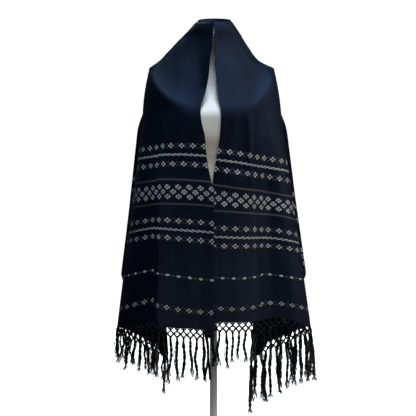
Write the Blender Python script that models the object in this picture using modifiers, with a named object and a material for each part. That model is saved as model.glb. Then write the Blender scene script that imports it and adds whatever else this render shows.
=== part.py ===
"""Rebozo shawl draped on a limbless dress form on its stand.

Metres, +Z up, the wearer's front towards -Y.  The origin is on the floor under the pole.
The cloth is one long rectangle: its upper selvedge runs round the neck and down both sides of
the front opening, and beyond each shoulder tip it fans out over a quarter circle of cloth that
hangs in flutes.  Each half is worked out column by column, a column being a line of the cloth
from the neck or ridge down to its lower edge.
"""
import math

import bmesh
import bpy
from mathutils import Vector

# ---- driving sizes -------------------------------------------------------------------------
WALL = 0.0018            # thickness of the cloth
SEAM = 0.0011            # air left between two pieces of cloth
AIR = 0.0004             # air left between other pieces
SHOULDER_Z = 1.105       # height of the shoulder tips
NECK_X, NECK_R = 0.003, 0.0510
NECK_RIM_Z, NECK_TILT = 1.2523, 0.0163
LIP = 0.018              # depth of the cloth turned in at the neck
RIDGE_R = 0.008          # roundness of the ridge
FLARE = 0.20             # sideways run of the cloth just below the shoulder, per metre down
CLOTH_H = 0.780          # shoulder tip to the fringed end, along the cloth
CLOTH_V = 0.455          # shoulder tip to the lower selvedge, along the cloth
FRINGE_PITCH = 0.0205    # spacing of the knots
STRIP = 0.006            # fringe heading
NET_1, NET_2 = 0.0165, 0.0275   # depth of the two rows of knots
POLE_R, BASE_R, BASE_T = 0.011, 0.140, 0.012
FORM_FOOT = 0.500        # height of the form's lower edge

# height, half width of the cloth at the ridge: left, right
RIDGE = ((1.2570, .0480, .0540), (1.2350, .0650, .0665), (1.2100, .0885, .0830),
         (1.1900, .1080, .0940), (1.1700, .1265, .1070), (1.1500, .1460, .1205),
         (1.1350, .1590, .1330), (1.1270, .1690, .1430), (1.1180, .1810, .1600),
         (1.1050, .1965, .1850))
# height, x of the edge of the front opening: left, right
OPENING = ((1.250, .0012, .0032), (1.236, .0000, .0026), (1.214, -.0012, .0041),
           (1.151, -.0049, .0041), (1.113, -.0109, .0041), (1.073, -.0138, .0068),
           (1.040, -.0197, .0097), (1.009, -.0285, .0150), (0.985, -.0370, .0195),
           (0.967, -.0387, .0211), (0.943, -.0372, .0212), (0.914, -.0314, .0195),
           (0.891, -.0256, .0180), (0.850, -.0226, .0110), (0.806, -.0168, .0035),
           (0.777, -.0110, -.0010), (0.757, -.0060, -.0035), (0.730, .0005, -.0060),
           (0.500, .0010, -.0060), (0.330, -.0060, -.0030))
# height, depth of the front at the middle, depth of the back, squareness of the front
DEPTH = ((1.260, .050, .050, 2.0), (1.236, .052, .052, 2.0), (1.151, .150, .150, 2.0),
         (1.060, .150, .150, 2.0), (0.964, .1315, .138, 2.0), (0.900, .1300, .140, 2.1),
         (0.800, .1270, .142, 2.2), (0.600, .1240, .146, 2.35), (0.330, .1210, .150, 2.45))
# distance from the middle, how steeply the chest and the back fall forward from the ridge
SLOPE = ((.000, .30, .30), (.050, .30, .29), (.090, .39, .37), (.133, .56, .52),
         (.163, .82, .76), (.200, 1.10, 1.05))
# angle of cloth from the front, sideways run left, right, backwards run (all per metre down),
# where the line starts on the back of the shoulder (0 ridge, 1 middle of the back), and how far
# back and outwards it steps just below the shoulder
FOLDS = {"edge": (8.5, .122, .140, -.026, .00, .000, .000),
         "in": (28.0, -.064, -.070, .127, .15, .002, .000),
         "side": (45.5, .135, .157, .150, .30, .012, .020),
         "in2": (60.0, .030, .040, .170, .40, .027, .000),
         "out2": (76.0, .115, .130, .190, .50, .042, .008),
         "back": (90.0, -.020, -.020, .190, .62, .058, .000)}
# share of the front panel from opening to outer fold, height of its hem: left, right
HEM = ((.00, .3210, .3490), (.05, .3215, .3470), (.15, .3245, .3452), (.25, .3275, .3450),
       (.38, .3290, .3478), (.47, .3310, .3525), (.56, .3330, .3555), (.63, .3480, .3556),
       (.72, .3470, .3530), (.83, .3420, .3430), (.92, .3330, .3340), (1.0, .3245, .3238))
# height, distance of the pleat from the middle and how far it steps back: left, right
PLEAT = ((1.105, .130, .100, .000, .000), (0.940, .150, .112, .003, .003),
         (0.800, .163, .118, .007, .008), (0.580, .170, .120, .013, .011),
         (0.330, .172, .120, .018, .012))
PLEAT_W = (.011, .022)   # width of the step: left, right
# length along the fringed end from the opening, hang of the tassels below the hem: left, right,
# and how far they lean outwards per metre down
TASSELS = ((.00, .150, .128, .00), (.10, .156, .120, .00), (.22, .142, .130, .02),
           (.30, .122, .142, .07), (.34, .110, .150, .09), (.45, .110, .162, .03),
           (.58, .126, .170, .00), (.66, .152, .178, .00))
# height, half width, front depth, back depth, squareness of the dress form below the neck
FORM = ((1.086, .166, .120, .120, 2.0), (1.060, .156, .128, .122, 2.1),
        (1.000, .148, .126, .124, 2.1), (0.960, .147, .1215, .124, 2.1),
        (0.900, .142, .117, .118, 2.1), (0.850, .132, .106, .108, 2.1),
        (0.800, .125, .098, .098, 2.15), (0.750, .127, .097, .096, 2.2),
        (0.680, .139, .101, .102, 2.25), (0.600, .152, .106, .110, 2.3),
        (0.540, .157, .107, .112, 2.3), (0.500, .155, .104, .108, 2.3))
FORM_NECK = ((1.086, .166), (1.098, .155), (1.109, .141), (1.120, .122), (1.133, .106),
             (1.150, .093), (1.168, .081), (1.186, .069), (1.202, .057), (1.213, .047),
             (1.222, .0395))


# ---- small helpers -------------------------------------------------------------------------
def clamp(t):
    return max(0.0, min(1.0, t))


def ease(t):
    t = clamp(t)
    return t * t * (3.0 - 2.0 * t)


def mix(a, b, t):
    return a + (b - a) * t


def look(rows, x, col, key=0):
    """Smooth, never overshooting value of a table's column at x."""
    pts = sorted((r[key], r[col]) for r in rows)
    if x <= pts[0][0]:
        return pts[0][1]
    if x >= pts[-1][0]:
        return pts[-1][1]
    n = len(pts)
    slopes = [(pts[i + 1][1] - pts[i][1]) / (pts[i + 1][0] - pts[i][0]) for i in range(n - 1)]

    def tangent(i):
        if i == 0:
            return slopes[0]
        if i == n - 1:
            return slopes[-1]
        a, b = slopes[i - 1], slopes[i]
        return 0.0 if a * b <= 0 else 2.0 * a * b / (a + b)

    i = max(j for j in range(n - 1) if pts[j][0] <= x)
    w = pts[i + 1][0] - pts[i][0]
    t = (x - pts[i][0]) / w
    a, b = pts[i][1], pts[i + 1][1]
    return (a * (1 + 2 * t) * (1 - t) ** 2 + tangent(i) * w * t * (1 - t) ** 2
            + b * t * t * (3 - 2 * t) + tangent(i + 1) * w * t * t * (t - 1))


def soft_min(a, b, r):
    h = max(r - abs(a - b), 0.0) / r
    return min(a, b) - h * h * r * 0.25


# ---- the cloth's surface: side is -1 (left) or 1 (right) ----------------------------------
def pick(side, left, right):
    return left if side < 0 else right


def settle(z):
    """0 at the shoulder, 1 where the cloth hangs in its folds."""
    return ease((SHOULDER_Z - z - .02) / 0.17)


def half_width(side, z):
    if z >= SHOULDER_Z:
        return look(RIDGE, z, pick(side, 1, 2))
    drop = SHOULDER_Z - z
    return look(RIDGE, SHOULDER_Z, pick(side, 1, 2)) + drop * mix(
        FLARE, FOLDS["edge"][pick(side, 1, 2)], settle(z))


def rim_height(angle):
    """Height of the neck rim at an angle from the front."""
    return NECK_RIM_Z - NECK_TILT * math.cos(angle)


def top_line(side, x, back):
    """Height of the neck rim or the ridge above a point at distance x from the middle."""
    off = x - side * NECK_X
    if off < NECK_R:
        share = math.sqrt(max(1.0 - (off / NECK_R) ** 2, 0.0))
        return mix(rim_height(math.pi / 2), rim_height(math.pi if back else 0.0), share)
    if x >= look(RIDGE, SHOULDER_Z, pick(side, 1, 2)):
        return SHOULDER_Z
    return look(RIDGE, x, 0, pick(side, 1, 2))


def depth(side, x, z, back):
    """How far the cloth stands before (or behind) the shoulder line at x, z."""
    wide = half_width(side, z)
    neck_w = min(wide, mix(.160, .088, clamp((z - 1.10) / .10)))
    power = mix(0.5, 1.0, clamp((neck_w - .052) / .036))
    start = NECK_R * max(0.0, 1.0 - (x / neck_w) ** 2) ** power
    slope = look(SLOPE, x, 2 if back else 1)
    inset = max(0.0, wide - x)
    below = ease((NECK_RIM_Z - .012 - z) / .04)
    fall = start + math.sqrt((max(0.0, top_line(side, x, back) - z) * slope) ** 2
                             + 2 * RIDGE_R * inset * math.exp(-inset / .02) * below)
    square = look(DEPTH, z, 3)
    low = (SHOULDER_Z - z) * FOLDS["edge"][3] if z < SHOULDER_Z and not back else 0.0
    full = look(DEPTH, z, 2 if back else 1)
    share = clamp(1.0 - clamp(x / wide) ** square) ** (1.0 / square)
    hang = -low + (full + low) * share
    if z > 1.2:
        return fall
    return soft_min(fall, hang, 0.016)


def front_point(side, f, kind, g, z, rim):
    """A point of the front panel; f is its share of the width at the top."""
    wide = half_width(side, z)
    edge = side * look(OPENING, z, pick(side, 1, 2))
    q = clamp((z - SHOULDER_Z) / (rim - SHOULDER_Z)) if z > SHOULDER_Z else 0.0
    top = mix(f, math.sin(f * math.pi / 2), q * q)
    x_top = edge + (wide - edge) * top
    at = look(PLEAT, z, pick(side, 1, 2))
    step = look(PLEAT, z, pick(side, 3, 4))
    w = PLEAT_W[0 if side < 0 else 1]
    x_low = mix(edge, at, g) if kind == "inner" else mix(at + w, wide, g)
    x = mix(x_top, x_low, ease((SHOULDER_Z - z) / 0.14))
    y = -depth(side, x, z, False)
    y += step * ease((x - at) / w) * (1.0 - 0.75 * ease((x - at - w) / max(wide - at - w, .02)))
    lap = ease((0.79 - z) / 0.07) * math.exp(-((x - edge) / 0.035) ** 2)
    y -= lap * pick(side, 0.0050, -0.0012)
    return Vector((side * x, y, z))


def fold_line(side, name, z):
    run = FOLDS[name]
    drop = SHOULDER_Z - z
    out = look(RIDGE, SHOULDER_Z, pick(side, 1, 2))
    return Vector((out + drop * run[pick(side, 1, 2)] + run[6] * ease(drop / .12),
                   drop * run[3] + run[5] * ease(drop / .16), 0.0))


ORDER = ("edge", "in", "side", "in2", "out2", "back")


def fold_point(side, seg, lam, z, turn=0.021):
    """A point between fold line seg and the next one, rounded at the folds."""
    a, b = fold_line(side, ORDER[seg], z), fold_line(side, ORDER[seg + 1], z)
    span = (b - a).length
    p = a.lerp(b, lam)
    across = Vector(((a - b).y, (b - a).x, 0.0)) / max(span, 1e-6)
    if across.y < 0:
        across = -across
    p += across * (0.045 * span * math.sin(math.pi * lam) ** 2)
    own = lam if lam < 0.5 else 1.0 - lam
    here, there = (a, b) if lam < 0.5 else (b, a)
    i = seg if lam < 0.5 else seg + 1
    if i in (0, len(ORDER) - 1):
        return p
    far = fold_line(side, ORDER[i - 1 if lam < 0.5 else i + 1], z)
    reach = min(turn, 0.3 * span, 0.3 * (far - here).length)
    e = own * span / max(reach, 1e-6)
    if e >= 1.0:
        return p
    k = 0.5 * (1.0 - e)
    u, v = (there - here).normalized(), (far - here).normalized()
    return here + u * (reach * (1.0 - k) ** 2) + v * (reach * k * k) + (p - a.lerp(b, lam))


def over_point(side, b, z):
    """A point on the back of the shoulder, b from 0 at the ridge to 1 at the middle."""
    wide = half_width(side, max(z, SHOULDER_Z)) + max(0.0, SHOULDER_Z - z) * FLARE
    start = side * NECK_X
    q = clamp((z - 1.17) / 0.08)
    x = start * q + (wide - start * q) * math.cos(b * math.pi / 2)
    y = depth(side, x, z, True)
    return Vector((x, y, 0.0))


def side_point(side, seg, lam, z):
    """A point beyond the outer fold: over the shoulder at the top, in flutes lower down."""
    b = mix(FOLDS[ORDER[seg]][4], FOLDS[ORDER[seg + 1]][4], lam)
    p = over_point(side, b, z)
    if z < SHOULDER_Z:
        p = p.lerp(fold_point(side, seg, lam, z), settle(z))
    return Vector((side * p.x, p.y, z))


def back_point(side, m, z):
    """A point of the back, m from 0 at the last fold line to 1 at the middle."""
    b = mix(FOLDS["back"][4], 1.0, m)
    p = over_point(side, b, z)
    if z < SHOULDER_Z:
        line = fold_line(side, "back", z)
        full = look(DEPTH, z, 2)
        x = line.x * (1.0 - m)
        y = line.y + (full - line.y) * (1.0 - (1.0 - m) ** 2.2)
        p = p.lerp(Vector((x, y, 0.0)), settle(z))
    return Vector((side * p.x, p.y, z))


def fold_angle(seg, lam):
    return math.radians(mix(FOLDS[ORDER[seg]][0], FOLDS[ORDER[seg + 1]][0], lam))


def lower_edge(side, seg, lam):
    """Height of the cloth's lower edge on a line beyond the outer fold."""
    psi = fold_angle(seg, lam)
    run = min(CLOTH_H / max(math.cos(psi), 1e-3), CLOTH_V / max(math.sin(psi), 1e-3))
    a, b = FOLDS[ORDER[seg]], FOLDS[ORDER[seg + 1]]
    k = pick(side, 1, 2)
    tx, ty = mix(a[k], b[k], lam), mix(a[3], b[3], lam)
    return SHOULDER_Z - run / math.sqrt(1 + tx * tx + ty * ty)


# columns of the cloth
FRONT = ([(0.62 * g, "inner", g) for g in (0, .14, .36, .58, .79, 1.0)]
         + [(.66 + .34 * g, "outer", g) for g in (0.0, .20, .46, .70, .87, .965)])
SIDES = ([(0, lam) for lam in (0.0, .14, .38, .66, .90)]
         + [(1, lam) for lam in (0.0, .13, .38, .64, .84)]
         + [(2, lam) for lam in (0.0, .18, .36)])
BACKS = ([(2, lam) for lam in (.36, .62, .84)]
         + [(3, lam) for lam in (0.0, .18, .50, .82)]
         + [(4, lam) for lam in (0.0, .18, .58)])
MIDDLE = (0.0, .34, .68)
TOP_ROWS = (1.0, .86, .68, .50, .35, .23, .13, .06)
LOW_ROWS = (0.0, .035, .07, .105, .14, .175, .215, .27, .35, .46, .59, .73, .87, 1.0)


def column(point, rim, foot, low_rows, inner):
    """The points of one column: the turned-in lip, the rim, then down to the lower edge."""
    top = point(rim)
    axis = Vector((NECK_X, 0.0, 0.0))
    out = Vector((top.x, top.y, 0.0)) - axis
    away = out.normalized()

    def ring(r, z):
        p = axis + away * r
        return Vector((p.x, p.y, z))

    pts = [ring(NECK_R - inner, rim - LIP), ring(NECK_R - inner + .0002, rim - .0035),
           ring(NECK_R - inner / 2, rim)]
    for q in TOP_ROWS:
        z = mix(SHOULDER_Z, rim - .004, q)
        p = point(z)
        if q == 1.0:
            p = ring(NECK_R - .0002, z)
        pts.append(p)
    for t in low_rows:
        pts.append(point(mix(SHOULDER_Z, foot, t)))
    return pts


def angle_at(side, x, y):
    """Angle round the neck of a plan point, 0 at the front."""
    return math.atan2(abs(x - NECK_X), -y)


def front_columns(side, rows=LOW_ROWS):
    cols = []
    for f, kind, g in FRONT:
        if kind == "inner" and g > 1.0:
            continue
        rim = rim_height(f * math.pi / 2)
        at = pick(side, .63, .46)
        share = at * g if kind == "inner" else mix(at + .05, 1.0, g)
        foot = look(HEM, share, pick(side, 1, 2))

        def point(z, f=f, kind=kind, g=g, rim=rim):
            return front_point(side, f, kind, g, z, rim)
        cols.append(column(point, rim, foot, rows, .006))
    return cols


def side_columns(side, entries, rows=LOW_ROWS):
    cols = []
    for seg, lam in entries:
        b = mix(FOLDS[ORDER[seg]][4], FOLDS[ORDER[seg + 1]][4], lam)
        rim = rim_height(math.pi / 2 * (1 + b))

        def point(z, seg=seg, lam=lam):
            return side_point(side, seg, lam, z)
        foot = lower_edge(side, seg, lam)
        if seg == 0 and lam < .3:
            foot = mix(look(HEM, 1.0, pick(side, 1, 2)), foot, ease(lam / .3))
        cols.append(column(point, rim, foot, rows, .006))
    return cols


BACK_FOOT = 0.618


def middle_columns(side, rows):
    cols = []
    for m in MIDDLE:
        b = mix(FOLDS["back"][4], 1.0, m)
        rim = rim_height(math.pi / 2 * (1 + b))
        foot = mix(lower_edge(side, 4, 1.0), BACK_FOOT, ease(m))

        def point(z, m=m):
            return back_point(side, m, z)
        cols.append(column(point, rim, foot, rows, .006))
    return cols


def centre_column(rows):
    def point(z):
        a, b = back_point(-1, 1.0, z), back_point(1, 1.0, z)
        return (a + b) / 2
    return column(point, rim_height(math.pi), BACK_FOOT, rows, .006)


def nudge(cols, gap):
    """Draws the first column of a piece back from the seam by a small gap."""
    first = [p + (q - p).normalized() * gap if (q - p).length > 1e-6 else p.copy()
             for p, q in zip(cols[0], cols[1])]
    return [first] + cols[1:]


# ---- meshes ---------------------------------------------------------------------------------
def material(name, colour, rough, metal=0.0):
    mat = bpy.data.materials.new(name)
    mat.use_nodes = True
    node = mat.node_tree.nodes["Principled BSDF"]
    node.inputs["Base Color"].default_value = (*colour, 1.0)
    node.inputs["Roughness"].default_value = rough
    node.inputs["Metallic"].default_value = metal
    mat.diffuse_color = (*colour, 1.0)
    return mat


def add_object(name, mesh, mat, sharp=None):
    obj = bpy.data.objects.new(name, mesh)
    PARTS.objects.link(obj)
    mesh.materials.append(mat)
    mesh.shade_smooth()
    if sharp:
        mesh.set_sharp_from_angle(angle=math.radians(sharp))
    return obj


def grid_mesh(name, cols, outward):
    """An open sheet through columns of points, its faces turned to agree with outward."""
    mesh = bpy.data.meshes.new(name)
    bm = bmesh.new()
    verts = [[bm.verts.new(p) for p in col] for col in cols]
    for a, b in zip(verts, verts[1:]):
        for i in range(len(a) - 1):
            bm.faces.new((a[i], a[i + 1], b[i + 1], b[i]))
    bm.normal_update()
    far = max(bm.faces, key=lambda f: abs(f.calc_center_median().dot(outward))
              if f.calc_center_median().z < 1.0 else 0.0)
    if far.normal.dot(outward) * (1 if far.calc_center_median().dot(outward) > 0 else -1) < 0:
        bmesh.ops.reverse_faces(bm, faces=bm.faces)
    bm.to_mesh(mesh)
    bm.free()
    return mesh


def cloth(name, cols, outward, mat):
    obj = add_object(name, grid_mesh(name, cols, outward), mat, 60)
    solid = obj.modifiers.new("cloth thickness", "SOLIDIFY")
    solid.thickness = WALL
    solid.offset = -1.0
    solid.use_rim = True
    return obj


def hem_line(side):
    """Points along the fringed end, from the opening to the corner behind, with lengths."""
    corner = fold_share(math.atan(CLOTH_V / CLOTH_H))
    entries = [e for e in SIDES if e[0] == 0 or (e[0] == 1 and e[1] < corner - .01)]
    cols = front_columns(side) + side_columns(side, entries + [(1, corner)])
    pts = [c[-1] for c in cols]
    run = [0.0]
    for p, q in zip(pts, pts[1:]):
        run.append(run[-1] + (q - p).length)
    return pts, run


def fold_share(psi):
    """Share of the way from the inner fold to the side fold at an angle of the cloth."""
    return (math.degrees(psi) - FOLDS["in"][0]) / (FOLDS["side"][0] - FOLDS["in"][0])


def along(line, s):
    pts, run = line
    s = max(0.0, min(run[-1], s))
    i = max(j for j in range(len(run) - 1) if run[j] <= s)
    t = (s - run[i]) / max(run[i + 1] - run[i], 1e-9)
    return pts[i].lerp(pts[i + 1], t)


def heading(line, s):
    d = along(line, s + .004) - along(line, s - .004)
    d.z = 0.0
    return d.normalized()


def sway(i, k):
    """A repeatable small number between -1 and 1."""
    v = math.sin(i * 12.9898 + k * 78.233) * 43758.5453
    return 2.0 * (v - math.floor(v)) - 1.0


def fringe(name, side, mat):
    line = hem_line(side)
    total = line[1][-1]
    count = int((total - .010) / FRINGE_PITCH) + 1
    first = (total - (count - 1) * FRINGE_PITCH) / 2
    bm = bmesh.new()
    thick = bm.verts.layers.deform.verify()

    def put(s, w, n_off=0.0, t_off=0.0, weight=0.5):
        head = heading(line, s)
        normal = Vector((head.y, -head.x, 0.0)) * side
        p = along(line, s) + head * t_off
        p = p - normal * (WALL / 2) + normal * n_off
        p.x += side * look(TASSELS, s, 3) * w
        p.z -= w
        v = bm.verts.new(p)
        v[thick][0] = weight
        return v

    def face(*verts):
        bm.faces.new(verts)

    h, k = .0028, .0026
    centres = [first + i * FRINGE_PITCH for i in range(count)]
    knots = [c + d for c in centres for d in (-h, h)]
    bends = [r for r in line[1][1:-1] if min(abs(r - c) for c in knots) > .0022
             and min(abs(r - c) for c in centres) > h]
    stops = sorted([0.0, total] + knots + bends)
    top = [put(s, SEAM) for s in stops]
    low = [put(s, STRIP) for s in stops]
    for i in range(len(stops) - 1):
        face(top[i], top[i + 1], low[i + 1], low[i])
    heads = []
    for i, c in enumerate(centres):
        b = put(c, STRIP + k)
        lo, ro = low[stops.index(c - h)], low[stops.index(c + h)]
        face(lo, ro, b)
        heads.append((lo, ro, b))
    ones = []
    for i in range(count - 1):
        c = centres[i] + FRINGE_PITCH / 2
        quad = (put(c, NET_1 - k), put(c + k, NET_1), put(c, NET_1 + k), put(c - k, NET_1))
        face(*quad)
        ones.append(quad)
        t, r, b, left = quad
        face(heads[i][1], t, left, heads[i][2])
        face(heads[i + 1][2], r, t, heads[i + 1][0])
    for i, c in enumerate(centres):
        t2 = put(c, NET_2 - k)
        l2, r2 = put(c - h, NET_2 + .0006, weight=.7), put(c + h, NET_2 + .0006, weight=.7)
        face(l2, t2, r2)
        if i > 0:
            t, r, b, left = ones[i - 1]
            face(r, t2, l2, b)
        if i < count - 1:
            t, r, b, left = ones[i]
            face(left, b, r2, t2)
        drop = look(TASSELS, c, pick(side, 1, 2)) * (1.0 + .07 * sway(i, side + 3))
        curl, lean = .0035 * sway(i, 7), .0045 * sway(i, 11)
        ends = (l2, r2)
        levels = ((.006, .0032, .95), (.013, .0021, .70), (.50, .0028, .90), (1.0, .0020, .60))
        for j, (at, half, weight) in enumerate(levels):
            w = NET_2 + at if j < 2 else mix(NET_2 + .013, drop, at)
            u = (w - NET_2) / (drop - NET_2)
            wave = curl * math.sin(u * math.pi * 1.7)
            tilt = lean * u * u
            a = put(c, w, wave, tilt - half, weight)
            b2 = put(c, w, wave, tilt + half, weight)
            face(ends[0], ends[1], b2, a)
            ends = (a, b2)
    bmesh.ops.recalc_face_normals(bm, faces=bm.faces)
    mesh = bpy.data.meshes.new(name)
    bm.to_mesh(mesh)
    bm.free()
    obj = add_object(name, mesh, mat, 50)
    group = obj.vertex_groups.new(name="thick")
    solid = obj.modifiers.new("strand thickness", "SOLIDIFY")
    solid.thickness = .0046
    solid.offset = 0.0
    solid.vertex_group = group.name
    solid.thickness_vertex_group = 0.0
    solid.use_rim = True
    return obj


def form_body(name, mat, around=32):
    """The dress form from its foot to the cut of its neck, one loft of rings."""
    rings = []
    for z, wide in reversed(FORM_NECK):
        rings.append((z, wide))
    for row in FORM[1:]:
        rings.append((row[0], row[1]))
    bm = bmesh.new()
    loops = []
    for z, wide in rings:
        row = []
        for i in range(around):
            a = 2 * math.pi * i / around
            sx, sy = math.sin(a), -math.cos(a)
            square = look(FORM, z, 4)
            if z >= 1.210:
                shift = NECK_X
                x, y = shift + wide * sx, wide * sy
            else:
                power = 2.0 / square
                shift = NECK_X * clamp((z - 1.10) / .10)
                x = math.copysign(abs(sx) ** power, sx) * wide + shift
                back = sy > 0
                full = look(FORM, z, 3 if back else 2)
                shape = full * abs(sy) ** power
                roof = min(depth(s, abs(x), z, back) for s in (-1, 1)) - .0075
                round_neck = wide * abs(sy)
                lift = clamp((z - 1.198) / .014)
                shape = mix(soft_min(shape, max(roof, .002), .012), round_neck, lift)
                y = math.copysign(shape, sy)
            row.append(bm.verts.new((x, y, z)))
        loops.append(row)
    for a, b in zip(loops, loops[1:]):
        for i in range(around):
            j = (i + 1) % around
            bm.faces.new((a[i], a[j], b[j], b[i]))
    bm.faces.new(loops[0])
    bm.faces.new(loops[-1])
    bmesh.ops.recalc_face_normals(bm, faces=bm.faces)
    mesh = bpy.data.meshes.new(name)
    bm.to_mesh(mesh)
    bm.free()
    return add_object(name, mesh, mat, 50)


def turned(name, profile, mat, steps=40, x=0.0):
    mesh = bpy.data.meshes.new(name)
    mesh.from_pydata([(r, 0.0, z) for r, z in profile],
                     [(i, i + 1) for i in range(len(profile) - 1)], [])
    obj = add_object(name, mesh, mat, 40)
    obj.location.x = x
    screw = obj.modifiers.new("turn", "SCREW")
    screw.steps = screw.render_steps = steps
    screw.use_merge_vertices = True
    screw.merge_threshold = 0.00005
    screw.use_smooth_shade = True
    return obj


# ---- build ----------------------------------------------------------------------------------
for old in list(bpy.data.objects):
    bpy.data.objects.remove(old, do_unlink=True)
PARTS = bpy.data.collections.new("rebozo_on_dress_form")
bpy.context.scene.collection.children.link(PARTS)

navy = (0.012, 0.014, 0.026)
white = (0.80, 0.79, 0.77)
for side, word in ((-1, "left"), (1, "right")):
    panel = front_columns(side) + side_columns(side, SIDES)
    cloth("cloth_front_" + word, panel, Vector((0, -1, 0)),
          material("cotton front " + word, navy, 0.85))
    fringe("fringe_" + word, side, material("fringe " + word, navy, 0.9))

left = nudge(side_columns(-1, BACKS, LOW_ROWS), SEAM)
right = nudge(side_columns(1, BACKS, LOW_ROWS), SEAM)
back = (left + middle_columns(-1, LOW_ROWS) + [centre_column(LOW_ROWS)]
        + list(reversed(middle_columns(1, LOW_ROWS))) + list(reversed(right)))
cloth("cloth_back", back, Vector((0, 1, 0)), material("cotton back", navy, 0.85))

form_body("form_torso", material("form cover", white, 0.55))
cap_z = FORM_NECK[-1][0] + AIR
turned("form_neck_cap", [(0.0, cap_z + .0050), (.022, cap_z + .0044), (.034, cap_z + .0028),
                         (.0384, cap_z), (0.0, cap_z)],
       material("neck cap", white, 0.5), 28, NECK_X)
turned("stand_pole", [(0.0, FORM_FOOT - AIR), (POLE_R, FORM_FOOT - AIR), (POLE_R, BASE_T + AIR),
                      (0.0, BASE_T + AIR)],
       material("pole paint", (0.78, 0.78, 0.77), 0.35), 24)
turned("stand_base", [(0.0, BASE_T), (BASE_R - .003, BASE_T), (BASE_R - .0008, BASE_T - .001),
                      (BASE_R, BASE_T - .004), (BASE_R, 0.0), (0.0, 0.0)],
       material("base paint", (0.78, 0.78, 0.77), 0.4), 48)
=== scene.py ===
import math
import random

import bmesh
import bpy
import numpy as np
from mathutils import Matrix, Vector, noise


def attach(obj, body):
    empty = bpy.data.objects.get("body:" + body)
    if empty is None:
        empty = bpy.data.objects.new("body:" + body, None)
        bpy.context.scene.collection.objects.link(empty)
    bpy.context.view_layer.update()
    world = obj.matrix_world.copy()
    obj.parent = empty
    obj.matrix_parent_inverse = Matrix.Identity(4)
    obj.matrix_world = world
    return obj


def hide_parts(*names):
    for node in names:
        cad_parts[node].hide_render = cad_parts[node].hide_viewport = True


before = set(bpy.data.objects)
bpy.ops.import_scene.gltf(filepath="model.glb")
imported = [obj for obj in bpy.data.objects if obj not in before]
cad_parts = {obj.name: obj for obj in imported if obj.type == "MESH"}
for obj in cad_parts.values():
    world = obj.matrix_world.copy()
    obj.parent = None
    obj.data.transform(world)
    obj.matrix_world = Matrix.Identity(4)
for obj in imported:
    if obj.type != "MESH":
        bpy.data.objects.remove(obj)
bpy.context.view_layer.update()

# ---- sizes -----------------------------------------------------------------------------------
WALL = 0.0018            # thickness of the cloth
HANG_IN = 0.009          # how far the front hangs in below the neck
BUST_Z, HANG_RUN = .955, .281   # height of the bust, and how far above it the cloth starts
SHOULDER_Z = 1.105       # height of the shoulder tips
NECK_X, NECK_R = 0.003, 0.0510
NECK_RIM_Z, NECK_TILT = 1.2546, 0.0140
LIP = 0.018              # depth of the cloth turned in at the neck
ROLL = 0.003             # radius of the rolled rim
SOFT_TOP = (1.242, 1.270)   # how high the cloth beside the neck comes: front, back
RIDGE_R = 0.008          # how softly the cloth turns over the shoulder
FLARE = 0.21             # how fast it widens just below the shoulder
CLOTH_W = 0.655          # selvedge to selvedge
CLOTH_H = 0.780          # shoulder tip to the fringed end
CLOTH_V = 0.455          # shoulder tip to the lower selvedge
TIP_U = CLOTH_W - CLOTH_V
FRINGE_PITCH = 0.0190    # tassel to tassel
NET_GIRTH = 0.0033       # radius of the net's cords
KNOT, END_KNOT = 0.0034, 0.0041   # radius of the net's knots and of the knots that end it
SEEDS = {-1: 11, 1: 23}  # of the random draws: left, right
TURNS, LOBE, SPACING = 95.0, .22, .0034   # of the cords: turns a metre, lobe depth, step
NET_1, NET_2 = 0.0165, 0.0275   # how far down the second and third rows of knots are
BACK_FOOT = 0.618        # height of the lower edge at the middle of the back
POLE_R, BASE_R, BASE_T, FORM_FOOT = 0.011, 0.140, 0.012, 0.500
AIR = 0.0004             # between the pieces of the form and stand
FORM_CUT = 1.086         # where the form's shoulders begin
PLEAT_FROM, PLEAT_TO = .62, .66   # share of a front's upper edge inside the pleat, and with it

# height, half width of the cloth at the ridge: left, right
RIDGE = ((1.2570, .0480, .0540), (1.2350, .0650, .0665), (1.2100, .0885, .0830),
         (1.1900, .1080, .0940), (1.1700, .1265, .1070), (1.1500, .1460, .1205),
         (1.1350, .1590, .1330), (1.1270, .1690, .1430), (1.1180, .1810, .1600),
         (1.1050, .1965, .1850))
# height, x of the edge of the front opening: left, right
OPENING = ((1.250, .0014, .0018), (1.236, .0001, .0019), (1.214, -.0004, .0018),
           (1.186, -.0018, .0024),
           (1.151, -.0049, .0041), (1.113, -.0109, .0041), (1.073, -.0138, .0068),
           (1.040, -.0197, .0097), (1.009, -.0285, .0150), (0.985, -.0370, .0195),
           (0.967, -.0387, .0211), (0.943, -.0372, .0212), (0.914, -.0314, .0195),
           (0.891, -.0256, .0180), (0.850, -.0226, .0110), (0.806, -.0168, .0035),
           (0.777, -.0110, -.0010), (0.757, -.0060, -.0035), (0.730, .0005, -.0060),
           (0.500, .0005, -.0065), (0.330, -.0020, -.0075))
# height, depth of the front at the middle, depth of the back, squareness of the front
DEPTH = ((1.260, .050, .050, 1.8), (1.236, .052, .052, 1.8), (1.151, .150, .150, 1.78),
         (1.060, .150, .150, 1.75), (0.964, .1315, .138, 1.98), (0.900, .1300, .140, 2.1),
         (0.800, .1270, .142, 2.2), (0.600, .1240, .146, 2.35), (0.330, .1210, .150, 2.45))
# distance from the middle, how steeply the chest and the back fall forward from the ridge
SLOPE = ((.000, .30, .30), (.050, .30, .29), (.090, .39, .37), (.133, .56, .52),
         (.163, .82, .76), (.200, 1.10, 1.05))
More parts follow.
